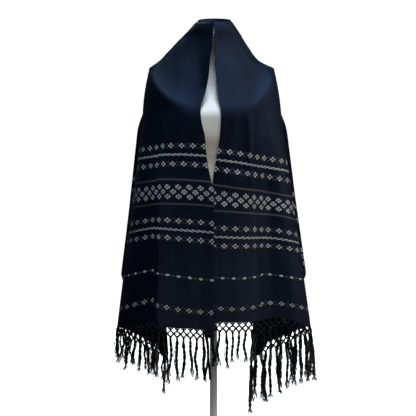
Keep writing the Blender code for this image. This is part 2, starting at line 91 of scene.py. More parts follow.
# angle of cloth from the front, sideways run left, right, backwards run, start on the back of
# the shoulder, step back and step out just below the shoulder
FOLDS = {"edge": (8.5, .122, .140, -.026, .00, .000, .000),
         "in": (28.0, -.064, -.078, .127, .15, .002, .000),
         "side": (45.5, .135, .157, .150, .30, .012, .020),
         "in2": (60.0, .030, .040, .170, .40, .027, .000),
         "out2": (76.0, .115, .130, .190, .50, .042, .008),
         "back": (90.0, -.020, -.020, .190, .62, .058, .000)}
ORDER = ("edge", "in", "side", "in2", "out2", "back")
# share of the front panel from opening to outer fold, height of its hem: left, right
HEM = ((.00, .3210, .3490), (.05, .3215, .3470), (.15, .3245, .3452), (.25, .3275, .3450),
       (.38, .3290, .3455), (.46, .3310, .3468), (.56, .3330, .3550), (.63, .3480, .3556),
       (.72, .3470, .3530), (.83, .3420, .3430), (.92, .3330, .3340), (1.0, .3245, .3238))
# height, distance of the pleat from the middle and how far it steps back: left, right
PLEAT = ((1.105, .130, .100), (0.940, .150, .112), (0.800, .163, .120), (0.580, .170, .127),
         (0.330, .172, .129))
PLEAT_W = (.004, .022)
# place across (0 opening, 1 pleat, 2 outer fold), how far the cloth stands forward of its even
# curve: at heights 1.00, .90, .70 and .33
STAND_LEFT = ((0.0, .000, .000, -.001, -.002), (.30, .000, .000, .002, .003),
              (.60, .000, .001, .005, .007), (.80, .000, .002, .009, .012),
              (1.0, .000, .004, .014, .019), (1.2, .000, .002, .011, .0155),
              (1.4, .000, .000, .008, .0125), (1.6, .000, .000, .005, .009),
              (1.8, .000, .000, .002, .005), (2.0, .000, .000, .000, .000))
STAND_RIGHT = ((0.0, .000, .000, .000, .000), (.25, .000, -.001, .001, .001),
               (.50, .000, -.002, .000, .000), (.75, -.001, -.003, -.005, -.007),
               (1.0, -.001, -.003, -.015, -.019), (1.001, -.001, -.003, -.0155, -.0195),
               (1.2, -.002, -.004, -.020, -.024), (1.4, -.001, -.002, -.015, -.018),
               (1.6, .000, .000, -.008, -.0105), (1.8, .000, .000, -.004, -.005),
               (2.0, .000, .000, .000, .000))
# length along the fringed end, hang of the tassels: left, right, lean outwards per metre
TASSELS = ((.00, .150, .128, .00), (.10, .156, .120, .00), (.22, .138, .132, .02),
           (.30, .108, .150, .06), (.34, .096, .160, .07), (.45, .100, .166, .03),
           (.58, .122, .178, .00), (.66, .152, .182, .00))
# height, half width, front depth, back depth, squareness of the dress form below the neck
FORM = ((1.086, .166, .120, .120, 2.0), (1.060, .156, .128, .122, 2.1),
        (1.000, .148, .126, .124, 2.1), (0.960, .147, .1215, .124, 2.1),
        (0.900, .142, .117, .118, 2.1), (0.850, .132, .106, .108, 2.1),
        (0.800, .125, .098, .098, 2.15), (0.750, .127, .097, .096, 2.2),
        (0.680, .139, .101, .102, 2.25), (0.600, .152, .106, .110, 2.3),
        (0.540, .157, .107, .112, 2.3), (0.500, .155, .104, .108, 2.3))
FORM_NECK = ((1.086, .166), (1.098, .155), (1.109, .141), (1.120, .122), (1.133, .106),
             (1.150, .091), (1.168, .073), (1.186, .053), (1.202, .0425), (1.213, .0400),
             (1.222, .0395))

# The woven bands, in metres from the fringed end
BANDS = {"small flowers": .053, "dashes": .149, "low flowers": .261, "low chain": .287,
         "low flowers 2": .313, "low line": .362, "wide band": .398, "high line": .434,
         "high flowers": .480, "high chain": .507, "high flowers 2": .533}
# How the front panels hang: metres of cloth from the fringed end, then the height of that thread
# at the inner part's edge, middle and end and at the outer part's start, middle and edge
HANG_LEFT = ((.053, .3745, .3822, .3975, .4140, .3975, .3775),
             (.149, .4690, .4785, .4905, .4990, .4890, .4740),
             (.261, .5825, .5895, .5975, .5990, .5915, .5796),
             (.362, .6850, .6918, .6930, .6925, .6868, .6810),
             (.434, .7568, .7636, .7650, .7618, .7578, .7538),
             (.533, .8602, .8637, .8632, .8605, .8580, .8550))
HANG_RIGHT = ((.053, .3900, .3843, .3890, .3998, .3945, .3775),
              (.149, .4798, .4745, .4785, .4858, .4780, .4658),
              (.261, .5705, .5685, .5683, .5693, .5635, .5515),
              (.362, .6725, .6687, .6642, .6625, .6577, .6440),
              (.434, .7503, .7405, .7332, .7310, .7225, .7150),
              (.533, .8474, .8424, .8325, .8290, .8243, .8175))
# the right end was pulled through a little further: its own metres, the pattern's metres
PULLED = ((.000, .000), (.038, .053), (.129, .149), (.226, .261), (.274, .313), (.322, .362),
          (.396, .434), (.495, .533), (.900, .938))
COLUMN = {-1: 1, 1: 2}   # of the left and the right in the tables above
MOTIF = .0328            # flower to flower
START_U = (.0275, .0285)  # where the pattern starts at the front selvedge: left, right
SKEW = (.000, .009)      # how far the cloth swings round towards its fringed end: left, right
TUCKED = .024            # cloth taken up in the pleat


# ---- helpers ---------------------------------------------------------------------------------
def clamp(t):
    return max(0.0, min(1.0, t))


def ease(t):
    t = clamp(t)
    return t * t * (3.0 - 2.0 * t)


def mix(a, b, t):
    return a + (b - a) * t


CURVES = {}


def look(rows, x, col, key=0):
    """Smooth, never overshooting value of a table's column at x."""
    tag = (id(rows), col, key)
    if tag not in CURVES:
        pts = sorted((r[key], r[col]) for r in rows)
        run = [(b[1] - a[1]) / (b[0] - a[0]) for a, b in zip(pts, pts[1:])]
        tan = [0.0] + [0.0 if a * b <= 0 else 2.0 * a * b / (a + b)
                       for a, b in zip(run, run[1:])] + [0.0]
        CURVES[tag] = (rows, pts, tan)
    pts, tan = CURVES[tag][1:]
    if x <= pts[0][0]:
        return pts[0][1]
    if x >= pts[-1][0]:
        return pts[-1][1]
    i = 0
    while pts[i + 1][0] < x:
        i += 1
    w = pts[i + 1][0] - pts[i][0]
    t = (x - pts[i][0]) / w
    return (pts[i][1] * (1 + 2 * t) * (1 - t) ** 2 + tan[i] * w * t * (1 - t) ** 2
            + pts[i + 1][1] * t * t * (3 - 2 * t) + tan[i + 1] * w * t * t * (t - 1))


def soft_min(a, b, r):
    h = max(r - abs(a - b), 0.0) / r
    return min(a, b) - h * h * r * 0.25


def bell(x, width):
    return math.exp(-(x / width) ** 2)


def placed(name, data):
    obj = bpy.data.objects.new(name, data)
    bpy.context.scene.collection.objects.link(obj)
    return obj


def mesh_of(name, bm):
    """A mesh of what bm holds, its faces turned outwards."""
    bmesh.ops.recalc_face_normals(bm, faces=bm.faces)
    mesh = bpy.data.meshes.new(name)
    bm.to_mesh(mesh)
    bm.free()
    return mesh


# ---- the hang of the cloth: side is -1 (left) or 1 (right) -------------------------------------
def pick(side, left, right):
    return left if side < 0 else right


def sided(rows, side, z):
    """A table's left or right column at z."""
    return look(rows, z, COLUMN[side])


def tip_x(side):
    return sided(RIDGE, side, SHOULDER_Z)


def settle(z):
    return ease((SHOULDER_Z - z - .02) / 0.17)


def half_width(side, z):
    if z >= SHOULDER_Z:
        return sided(RIDGE, side, z)
    drop = SHOULDER_Z - z
    return tip_x(side) + drop * mix(FLARE, FOLDS["edge"][COLUMN[side]], settle(z))


def rim_height(angle):
    return NECK_RIM_Z - NECK_TILT * math.cos(angle)


def top_line(side, x, back):
    off = x - side * NECK_X
    if off < NECK_R:
        share = math.sqrt(max(1.0 - (off / NECK_R) ** 2, 0.0))
        return mix(rim_height(math.pi / 2), rim_height(math.pi if back else 0.0), share)
    if x >= tip_x(side):
        return SHOULDER_Z
    return look(RIDGE, x, 0, COLUMN[side])


def soft_top(side, x, back):
    """The top line with its corner beside the neck rounded off."""
    ridge = look(RIDGE, x, 0, COLUMN[side]) + max(0.0, .054 - x) * 1.3
    return soft_min(SOFT_TOP[back], ridge, .06)


def fall_line(side, x, z, back):
    """How far forward cloth falling from the ridge has come, before it meets the bust."""
    wide = half_width(side, z)
    neck = mix(.160, .088, ease((z - 1.07) / .14))
    neck_w = min(wide, neck)
    power = mix(0.5, 1.0, clamp((neck_w - .052) / .036))
    start = NECK_R * max(0.0, 1.0 - (x / neck_w) ** 2) ** power
    slope = look(SLOPE, x, 2 if back else 1)
    inset = max(0.0, wide - x)
    below = ease((NECK_RIM_Z - .012 - z) / .04)
    top = top_line(side, x, back)
    calm = ease((1.236 - z) / .03)
    if calm > 0.0:
        start = mix(start, NECK_R * max(0.0, 1.0 - (x / min(wide, 1.25 * neck)) ** 2) ** 2,
                    ease((1.225 - z) / .05))
        top = mix(top, soft_top(side, x, back), calm * ease((.12 - x) / .03))
    fall = start + math.sqrt((max(0.0, top - z) * slope) ** 2
                             + 2 * RIDGE_R * inset * math.exp(-inset / .02) * below)
    if not back and z < top:
        # the cloth hangs in a little between the neck and the bust
        t = clamp((top - z) / (top - BUST_Z))
        fall -= HANG_IN * 4 * t * (1 - t) * ((top - BUST_Z) / HANG_RUN) ** 2 * ease(inset / .06)
    return fall, top


GRID = .003
GRID_X, GRID_Z = 8, .85  # columns beyond the middle, lowest height
CHESTS = {}


def chest(side):
    """The fall of the front evened out on a grid of (x, z), GRID apart."""
    if side not in CHESTS:
        xs, zs = np.arange(-GRID_X, 88) * GRID, GRID_Z + np.arange(0, 130) * GRID
        raw, known = np.zeros((len(xs), len(zs))), np.zeros((len(xs), len(zs)))
        for j, z in enumerate(zs):
            wide = half_width(side, z)
            for i, x in enumerate(xs):
                if abs(x) < wide - .004:
                    fall, top = fall_line(side, abs(x), z, False)
                    if z < top - .008:
                        raw[i, j], known[i, j] = fall, 1.0
        for _ in range(3):
            for axis, k in ((0, 6), (1, 4)):
                for data in (raw, known):
                    run = np.cumsum(np.pad(data, [(k + 1, k) if a == axis else (0, 0)
                                                  for a in (0, 1)], mode="edge"), axis=axis)
                    cut = [slice(None), slice(None)]
                    cut[axis] = slice(2 * k + 1, None)
                    low = [slice(None), slice(None)]
                    low[axis] = slice(0, -(2 * k + 1))
                    data[:] = (run[tuple(cut)] - run[tuple(low)]) / (2 * k + 1)
        CHESTS[side] = raw / np.maximum(known, 1e-6)
    return CHESTS[side]


def cubic(p, k):
    """Smooth value k of the way from p[1] to p[2]."""
    return p[1] + .5 * k * (p[2] - p[0] + k * (2 * p[0] - 5 * p[1] + 4 * p[2] - p[3]
                                               + k * (3 * (p[1] - p[2]) + p[3] - p[0])))


def even_fall(side, x, z):
    grid = chest(side)
    i, j = x / GRID + GRID_X, (z - GRID_Z) / GRID
    i, j = min(max(i, 1), grid.shape[0] - 3), min(max(j, 1), grid.shape[1] - 3)
    a, b = int(i), int(j)
    return cubic([cubic(grid[a + d, b - 1:b + 3], j - b) for d in (-1, 0, 1, 2)], i - a)


def depth(side, x, z, back, extra=0.0):
    wide = half_width(side, z)
    fall, top = fall_line(side, x, z, back)
    if not back and .86 < z < 1.215:
        even = ease((top - z) / .045) * ease((1.215 - z) / .03) * ease((wide - x) / .03)
        if even > 0.0:
            fall = mix(fall, even_fall(side, x, z), even)
    square = look(DEPTH, z, 3)
    low = (SHOULDER_Z - z) * FOLDS["edge"][3] if z < SHOULDER_Z and not back else 0.0
    full = look(DEPTH, z, 2 if back else 1)
    share = clamp(1.0 - clamp(x / wide) ** square) ** (1.0 / square)
    hang = -low + (full + low) * share + extra
    if z > 1.2:
        return fall
    return soft_min(fall, hang, 0.010)


def stand_out(side, kind, g, z):
    """How far a place of the front stands forward of the even curve."""
    rows = STAND_LEFT if side < 0 else STAND_RIGHT
    place = {"inner": g, "step": 1.0 + .001 * g, "outer": 1.0 + g}[kind]
    if kind == "outer":
        place = max(place, 1.001)
    high, mid, low, foot = (look(rows, place, k) for k in (1, 2, 3, 4))
    if z > .90:
        return mix(mid, high, ease((z - .90) / .10))
    if z > .70:
        return mix(low, mid, ease((z - .70) / .20))
    return mix(foot, low, ease((z - .33) / .37))


def front_share(kind, g, first, second):
    """Place across a front, from 0 to 1, with the pleat's step between first and second."""
    return {"inner": first * g, "step": mix(first, second, g), "outer": mix(second, 1.0, g)}[kind]


def front_point(side, kind, g, z, rim):
    """A point of a front panel: kind is its inner part, the pleat's step or its outer part."""
    wide = half_width(side, z)
    edge = side * sided(OPENING, side, z)
    f = front_share(kind, g, PLEAT_FROM, PLEAT_TO)
    q = clamp((z - SHOULDER_Z) / (rim - SHOULDER_Z)) if z > SHOULDER_Z else 0.0
    top = mix(f, math.sin(f * math.pi / 2), q * q)
    x_top = edge + (wide - edge) * top
    at = sided(PLEAT, side, z)
    w = pick(side, *PLEAT_W)
    x_low = {"inner": mix(edge, at, g), "step": at + w * g, "outer": mix(at + w, wide, g)}[kind]
    x = mix(x_top, x_low, ease((SHOULDER_Z - z) / 0.14))
    y = -depth(side, x, z, False, stand_out(side, kind, g, z))
    lap = ease((0.79 - z) / 0.07) * math.exp(-((x - edge) / pick(side, .024, .035)) ** 2)
    y -= lap * pick(side, 0.0064, -0.0012)
    return Vector((side * x, y, z))


def between(seg, lam, col):
    """A column of FOLDS, lam of the way from fold line seg to the next one."""
    return mix(FOLDS[ORDER[seg]][col], FOLDS[ORDER[seg + 1]][col], lam)


def fold_line(side, name, z):
    run = FOLDS[name]
    drop = SHOULDER_Z - z
    out = tip_x(side)
    return Vector((out + drop * run[COLUMN[side]] + run[6] * ease(drop / .20),
                   drop * run[3] + run[5] * ease(drop / .16), 0.0))


def fold_point(side, seg, lam, z, turn=0.021):
    """A point between fold line seg and the next one, rounded at the folds."""
    a, b = fold_line(side, ORDER[seg], z), fold_line(side, ORDER[seg + 1], z)
    span = (b - a).length
    p = a.lerp(b, lam)
    across = Vector(((a - b).y, (b - a).x, 0.0)) / max(span, 1e-6)
    if across.y < 0:
        across = -across
    p += across * (0.045 * span * math.sin(math.pi * lam) ** 2)
    own = lam if lam < 0.5 else 1.0 - lam
    here, there = (a, b) if lam < 0.5 else (b, a)
    i = seg if lam < 0.5 else seg + 1
    if i in (0, len(ORDER) - 1):
        return p
    if i == 1:
        turn = mix(.021, .008, ease((SHOULDER_Z - z - .30) / .35))
    far = fold_line(side, ORDER[i - 1 if lam < 0.5 else i + 1], z)
    reach = min(turn, 0.3 * span, 0.3 * (far - here).length)
    e = own * span / max(reach, 1e-6)
    if e >= 1.0:
        return p
    k = 0.5 * (1.0 - e)
    u, v = (there - here).normalized(), (far - here).normalized()
    return here + u * (reach * (1.0 - k) ** 2) + v * (reach * k * k) + (p - a.lerp(b, lam))


def over_point(side, b, z):
    """A point on the back of the shoulder, b from 0 at the ridge to 1 at the middle."""
    wide = half_width(side, max(z, SHOULDER_Z)) + max(0.0, SHOULDER_Z - z) * FLARE
    start = side * NECK_X
    q = clamp((z - 1.17) / 0.08)
    x = start * q + (wide - start * q) * math.cos(b * math.pi / 2)
    return Vector((x, depth(side, x, z, True), 0.0))


def side_point(side, seg, lam, z):
    p = over_point(side, between(seg, lam, 4), z)
    if z < SHOULDER_Z:
        p = p.lerp(fold_point(side, seg, lam, z), settle(z))
    return Vector((side * p.x, p.y, z))


def back_point(side, m, z):
    """A point of the back, m from 0 at the last fold line to 1 at the middle."""
    b = mix(FOLDS["back"][4], 1.0, m)
    p = over_point(side, b, z)
    if z < SHOULDER_Z:
        line = fold_line(side, "back", z)
        full = look(DEPTH, z, 2)
        x = line.x * (1.0 - m)
        y = line.y + (full - line.y) * (1.0 - (1.0 - m) ** 2.2)
        p = p.lerp(Vector((x, y, 0.0)), settle(z))
    return Vector((side * p.x, p.y, z))


def fold_run(side, seg, lam):
    """Metres of cloth per metre down along a line beyond the outer fold."""
    return math.sqrt(1 + between(seg, lam, COLUMN[side]) ** 2 + between(seg, lam, 3) ** 2)


def lower_edge(side, seg, lam):
    psi = math.radians(between(seg, lam, 0))
    run = min(CLOTH_H / max(math.cos(psi), 1e-3), CLOTH_V / max(math.sin(psi), 1e-3))
    return SHOULDER_Z - run / fold_run(side, seg, lam)


# ---- where each thread lies -------------------------------------------------------------------
def quadratic(a, b, c, g):
    """The smooth value at g of something that is a, b and c at 0, a half and 1."""
    return a * (2 * g - 1) * (g - 1) + 4 * b * g * (1 - g) + c * g * (2 * g - 1)


THREADS = {}


def thread_table(side, kind, g, foot):
    """(height, metres of cloth from the fringed end) down one line of a front panel."""
    tag = (side, kind, round(g, 4))
    if tag not in THREADS:
        rows = [(foot, 0.0)]
        for v, a, b, c, d, e, f in (HANG_LEFT if side < 0 else HANG_RIGHT):
            z = {"inner": quadratic(a, b, c, g), "step": mix(c, d, ease(g)),
                 "outer": quadratic(d, e, f, g)}[kind]
            rows.append((z, v))
        THREADS[tag] = tuple(rows)
    return THREADS[tag]


def front_v(side, kind, g, foot, z):
    rows = thread_table(side, kind, g, foot)
    if z > rows[-1][0]:
        return rows[-1][1] + (z - rows[-1][0])
    i = max(j for j in range(len(rows) - 1) if rows[j][0] <= z or j == 0)
    (z0, v0), (z1, v1) = rows[i], rows[i + 1]
    return mix(v0, v1, (z - z0) / (z1 - z0))


def pattern_v(side, own):
    """The pattern's metres from the fringed end for the cloth's own metres."""
    if side < 0:
        return own
    i = max(j for j in range(len(PULLED) - 1) if PULLED[j][0] <= max(own, 0.0))
    (a, v0), (b, v1) = PULLED[i], PULLED[i + 1]
    return mix(v0, v1, (own - a) / (b - a))


# ---- lines of cloth ---------------------------------------------------------------------------
TOP_ROWS = [1.0 - ease(i / 30) * .35 - .65 * i / 30 for i in range(30)]
LOW_ROWS = [i / 168 for i in range(169)]
LIP_ROWS = 11


def line_of_cloth(point, rim, foot):
    """One line: turned-in lip, rolled rim, then down to the lower edge."""
    top = point(rim)
    axis = Vector((NECK_X, 0.0, 0.0))
    away = (Vector((top.x, top.y, 0.0)) - axis).normalized()

    def ring(r, z):
        p = axis + away * r
        return Vector((p.x, p.y, z))

    pts = [ring(NECK_R - 2 * ROLL, rim - LIP + i * (LIP - ROLL) / 4) for i in range(4)]
    for i in range(7):
        a = math.pi * i / 6
        pts.append(ring(NECK_R - ROLL - ROLL * math.cos(a), rim - ROLL + ROLL * math.sin(a)))
    for q in TOP_ROWS:
        z = mix(SHOULDER_Z, rim - .004, q)
        pts.append(ring(NECK_R - .0002, z) if q == 1.0 else point(z))
    for t in LOW_ROWS:
        pts.append(point(mix(SHOULDER_Z, foot, t)))
    return pts


def front_lines(side):
    """Lines of a front panel and, for each, its kind, place and foot."""
    at = pick(side, .63, .46)
    places = [("inner", i / 44) for i in range(45)] + [("step", i / 7) for i in range(1, 7)]
    s0 = .55
    places += [("outer", (math.sin(mix(s0, math.pi / 2, i / 34)) - math.sin(s0))
                / (1 - math.sin(s0))) for i in range(34)]
    lines = []
    for kind, g in places:
        share = front_share(kind, g, at, at + .05)
        f = front_share(kind, g, PLEAT_FROM, PLEAT_TO)
        rim = rim_height(f * math.pi / 2)
        foot = sided(HEM, side, share)
        pts = line_of_cloth(lambda z: front_point(side, kind, g, z, rim), rim, foot)
        lines.append({"kind": kind, "g": g, "foot": foot, "pts": pts})
    return lines


def side_lines(side, places):
    lines = []
    for seg, lam in places:
        rim = rim_height(math.pi / 2 * (1 + between(seg, lam, 4)))
        foot = lower_edge(side, seg, lam)
        if seg == 0 and lam < .3:
            foot = mix(sided(HEM, side, 1.0), foot, ease(lam / .3))
        pts = line_of_cloth(lambda z: side_point(side, seg, lam, z), rim, foot)
        lines.append({"kind": "side", "seg": seg, "lam": lam, "foot": foot, "pts": pts})
    return lines


def middle_lines(side, steps):
    lines = []
    for i in range(steps):
        m = i / steps
        b = mix(FOLDS["back"][4], 1.0, m)
        rim = rim_height(math.pi / 2 * (1 + b))
        foot = mix(lower_edge(side, 4, 1.0), BACK_FOOT, ease(m))
        pts = line_of_cloth(lambda z: back_point(side, m, z), rim, foot)
        lines.append({"kind": "middle", "m": m, "foot": foot, "pts": pts})
    return lines


def centre_line():
    pts = line_of_cloth(lambda z: (back_point(-1, 1.0, z) + back_point(1, 1.0, z)) / 2,
                        rim_height(math.pi), BACK_FOOT)
    return [{"kind": "middle", "m": 1.0, "foot": BACK_FOOT, "pts": pts}]


def spread(seg, start, stop, count):
    """Evenly spaced places in one fold, closer together at its turns."""
    out = []
    for i in range(count):
        t = i / count
        lam = t - .055 * math.sin(2 * math.pi * t)
        out.append((seg, mix(start, stop, lam)))
    return out


def points_of(lines):
    return np.array([[tuple(p) for p in line["pts"]] for line in lines])


def run_across(lines):
    """Metres from the first line to every point, from line to line."""
    co = points_of(lines)
    gap = np.zeros(co.shape[:2])
    gap[1:] = np.linalg.norm(co[1:] - co[:-1], axis=2)
    return np.cumsum(gap, axis=0)


# ---- creases: soft ridges and troughs, given one by one ----------------------------------------
# place across at the top and the bottom, top, bottom, width, height (+ stands out, - sinks in).
# On the front the place is metres from the middle.
FRONT_CREASES = {
    -1: ((.060, .066, 0.80, .33, .016, .0012), (.112, .120, 0.74, .33, .014, -.0012),
         (.215, .236, 0.86, .33, .012, .0016), (.080, .090, 0.92, .60, .014, .0008)),
    1: ((.050, .046, 0.80, .34, .016, -.0010), (.102, .108, 0.99, .78, .010, .0034),
        (.076, .078, 0.97, .80, .034, -.0030),
        (.158, .162, 0.80, .33, .022, -.0044), (.214, .240, 0.90, .33, .013, .0018)),
}
# On the back the place is the share from the last fold (0) to the middle (1).
BACK_CREASES = ((.10, .16, 1.04, .62, .07, .0045), (.30, .34, 1.06, .62, .08, -.0040),
                (.52, .55, 1.08, .62, .09, .0042), (.74, .76, 1.06, .62, .07, -.0034),
                (.92, .96, 1.00, .62, .06, .0030))
# swags between the shoulders: height at the middle, height at the side, width, height of ridge
SWAGS = ((1.075, 1.115, .012, .0024), (1.025, 1.085, .014, -.0026), (0.968, 1.045, .016, .0028),
         (0.905, 1.000, .018, -.0022), (0.840, .950, .018, .0014))


def crease(rows, place, z):
    total = 0.0
    for top_x, low_x, top, low, width, height in rows:
        t = clamp((top - z) / (top - low))
        fade = ease((top - z) / .08) * ease((z - low + .02) / .05 + .6)
        if fade > 0:
            total += height * fade * bell(place - mix(top_x, low_x, t), width)
    return total


def lapel(side, line, p):
    """The left edge stands forward of the right one, whose very edge curls a little."""
    if line["kind"] != "inner":
        return 0.0
    off = abs(p.x - sided(OPENING, side, p.z))
    reach = pick(side, mix(.034, .052, ease((p.z - 1.08) / .10)), .011)
    return (pick(side, .0145, .0020) * clamp(1 - off / reach) ** 2
            * ease((p.z - 1.02) / .06))


def relief(side, line, p):
    """How far the cloth stands out of its smooth form at a point."""
    z = p.z
    quiet = ease((1.20 - z) / .05)
    ripple = .0006 * noise.noise(Vector((p.x * 24, p.y * 24, z * 5)))
    ripple += .0004 * noise.noise(Vector((p.x * 60 + 7, p.y * 60, z * 16)))
    if line["kind"] in ("inner", "step", "outer"):
        lift = crease(FRONT_CREASES[side], abs(p.x), z)
        edge = 1.0
        if line["kind"] == "outer":
            edge = ease((1.0 - line["g"]) / .25)
        if line["kind"] == "inner":
            edge = .25 + .75 * ease(line["g"] / .12)
        return (lift + ripple * 1.3) * quiet * edge + lapel(side, line, p)
    if line["kind"] == "middle":
        lift = crease(BACK_CREASES, line["m"], z) * ease(line["m"] / .12)
        for mid, far, width, height in SWAGS:
            at = mix(far, mid, 1 - (1 - line["m"]) ** 2)
            lift += height * bell(z - at, width) * ease(line["m"] / .35)
        return (lift + ripple * 1.6) * quiet
    drop = SHOULDER_Z - z
    wave = math.sin(line["lam"] * math.pi) * ease(drop / .25)
    return (ripple * 1.8 * wave) * quiet


# ---- making the cloth -------------------------------------------------------------------------
def cloth_piece(name, runs, mat):
    """runs: rows of (lines, U, V, side).  One shell with its weave map."""
    lines, us, vs, sides = [], [], [], []
    for part, u, v, side in runs:
        lines += part
        us.append(u)
        vs.append(v)
        sides += [side] * len(part)
    u, v = np.concatenate(us), np.concatenate(vs)
    co = points_of(lines)
    n, rows = co.shape[:2]
    along = np.gradient(co, axis=0)
    down = np.gradient(co, axis=1)
    out = np.cross(along, down)
    out /= np.maximum(np.linalg.norm(out, axis=2, keepdims=True), 1e-9)
    # one sign for the whole piece: out of the form at mid height
    mid = rows * 2 // 3
    centre = co[:, mid].copy()
    centre[:, 2] = 0
    if (out[:, mid] * centre).sum() < 0:
        out = -out
    for i, line in enumerate(lines):
        rim = line["pts"][LIP_ROWS + 2]
        away = np.array((rim.x - NECK_X, rim.y, 0.0))
        co[i, :LIP_ROWS + 2] += (away / np.linalg.norm(away)) * lapel(sides[i], line, rim)
        for j in range(LIP_ROWS + 2, rows):
            co[i, j] += out[i, j] * relief(sides[i], line, line["pts"][j])
    mesh = bpy.data.meshes.new(name)
    index = np.arange(n * rows).reshape(n, rows)
    a, b, c, d = index[:-1, :-1], index[:-1, 1:], index[1:, 1:], index[1:, :-1]
    faces = np.stack([a, b, c, d], -1).reshape(-1, 4)
    e1 = co.reshape(-1, 3)[faces[:, 2]] - co.reshape(-1, 3)[faces[:, 0]]
    e2 = co.reshape(-1, 3)[faces[:, 3]] - co.reshape(-1, 3)[faces[:, 1]]
    face_out = np.cross(e1, e2)
    if (face_out * out.reshape(-1, 3)[faces[:, 0]]).sum() < 0:
        faces = faces[:, ::-1]
    mesh.from_pydata(co.reshape(-1, 3).tolist(), [], faces.tolist())
    weave = mesh.uv_layers.new(name="weave")
    corner = np.zeros(len(mesh.loops), dtype=np.int32)
    mesh.loops.foreach_get("vertex_index", corner)
    flat = np.stack([u.reshape(-1), v.reshape(-1)], -1)
    weave.data.foreach_set("uv", flat[corner].ravel())
    quad = flat[faces]
    d1, d2 = quad[:, 2] - quad[:, 0], quad[:, 3] - quad[:, 1]
    flat_area = float(np.abs(d1[:, 0] * d2[:, 1] - d1[:, 1] * d2[:, 0]).sum() / 2)
    obj = placed(name, mesh)
    mesh.materials.append(mat)
    mesh.shade_smooth()
    wall = obj.modifiers.new("cloth thickness", "SOLIDIFY")
    wall.thickness = WALL
    wall.offset = -1.0
    wall.use_rim = True
    bake_modifiers(obj)
    obj.data.set_sharp_from_angle(angle=math.radians(60))
    return obj, (float(np.ptp(flat[:, 0])), float(np.ptp(flat[:, 1]))), flat_area, co


def bake_modifiers(obj):
    """Turns what the object shows into its own plain mesh."""
    graph = bpy.context.evaluated_depsgraph_get()
    graph.update()
    made = bpy.data.meshes.new_from_object(obj.evaluated_get(graph), depsgraph=graph)
    old = obj.data
    obj.modifiers.clear()
    obj.data = made
    made.name = obj.name
    bpy.data.meshes.remove(old)
    return obj


def front_map(side, lines):
    """Flat-cloth metres (U, V) for every point of a front panel, as arrays (line, row)."""
    across = run_across(lines)
    v = np.zeros(across.shape)
    for i, line in enumerate(lines):
        for j, p in enumerate(line["pts"]):
            v[i, j] = front_v(side, line["kind"], line["g"], line["foot"], p.z)
            # the pleat takes up cloth, over a wider stretch the higher it is
            reach = mix(.012, .032, ease((p.z - .42) / .35))
            t = (side * p.x - sided(PLEAT, side, p.z) + reach) / (
                2 * reach + pick(side, *PLEAT_W))
            tucked = mix(pick(side, TUCKED, .008), TUCKED, ease((p.z - .42) / .14))
            across[i, j] += tucked * ease(t) * ease((1.02 - p.z) / .16)
            across[i, j] += pick(side, *SKEW) * ease((.55 - p.z) / .15)
    return across, v


def fold_map(side, lines, edge_u, edge_v, edge_z):
    """Flat-cloth metres beyond the outer fold, joined to the front panel's edge."""
    n, rows = len(lines), len(lines[0]["pts"])
    u, v = np.zeros((n, rows)), np.zeros((n, rows))
    top = rows - len(LOW_ROWS)
    edge0 = cone(side, 0, 0.0, edge_z)
    for i, line in enumerate(lines):
        seg, lam = (line["seg"], line["lam"]) if line["kind"] == "side" else (4, 1.0)
        z = np.array([p.z for p in line["pts"]])
        cu, cv = cone(side, seg, lam, z)
        away = seg + lam
        keep = 1.0 - ease(away / 1.6)
        # what the front panel's own map adds at the same height
        du = np.interp(z, edge_z[::-1], (edge_u - edge0[0])[::-1])
        dv = np.interp(z, edge_z[::-1], (edge_v - edge0[1])[::-1])
        u[i], v[i] = cu + du * keep, cv + dv * keep
        u[i, :top] = u[i, top] - (z[:top] - z[top]) * .9
        v[i, :top] = v[i, top]
    return u, v


def cone(side, seg, lam, z):
    psi = math.radians(between(seg, lam, 0))
    r = np.maximum(SHOULDER_Z - z, 0.0) * fold_run(side, seg, lam)
    own = CLOTH_H - r * math.cos(psi)
    return TIP_U + r * math.sin(psi), np.array([pattern_v(side, o) for o in own])


# ---- materials --------------------------------------------------------------------------------
class Wiring:
    """Short hand for making nodes in one tree and joining them."""

    def __init__(self, tree):
        self.tree = tree

    def node(self, kind, joined=None, **settings):
        made = self.tree.nodes.new(kind)
        for key, value in settings.items():
            setattr(made, key, value)
        for socket, source in (joined or {}).items():
            self.join(source, made.inputs[socket])
        return made

    def join(self, source, target):
        if hasattr(source, "is_output"):
            self.tree.links.new(source, target)
        else:
            target.default_value = source

    def sum(self, operation, *values, limit=False):
        return self.node("ShaderNodeMath", dict(enumerate(values)), operation=operation,
                         use_clamp=limit).outputs[0]

    def times(self, a, b):
        return self.sum("MULTIPLY", a, b)

    def plus(self, a, b):
        return self.sum("ADD", a, b)

    def less(self, a, b):
        return self.sum("LESS_THAN", a, b)

    def size(self, a):
        return self.sum("ABSOLUTE", a)

    def either(self, *masks):
        out = masks[0]
        for m in masks[1:]:
            out = self.sum("MAXIMUM", out, m)
        return out


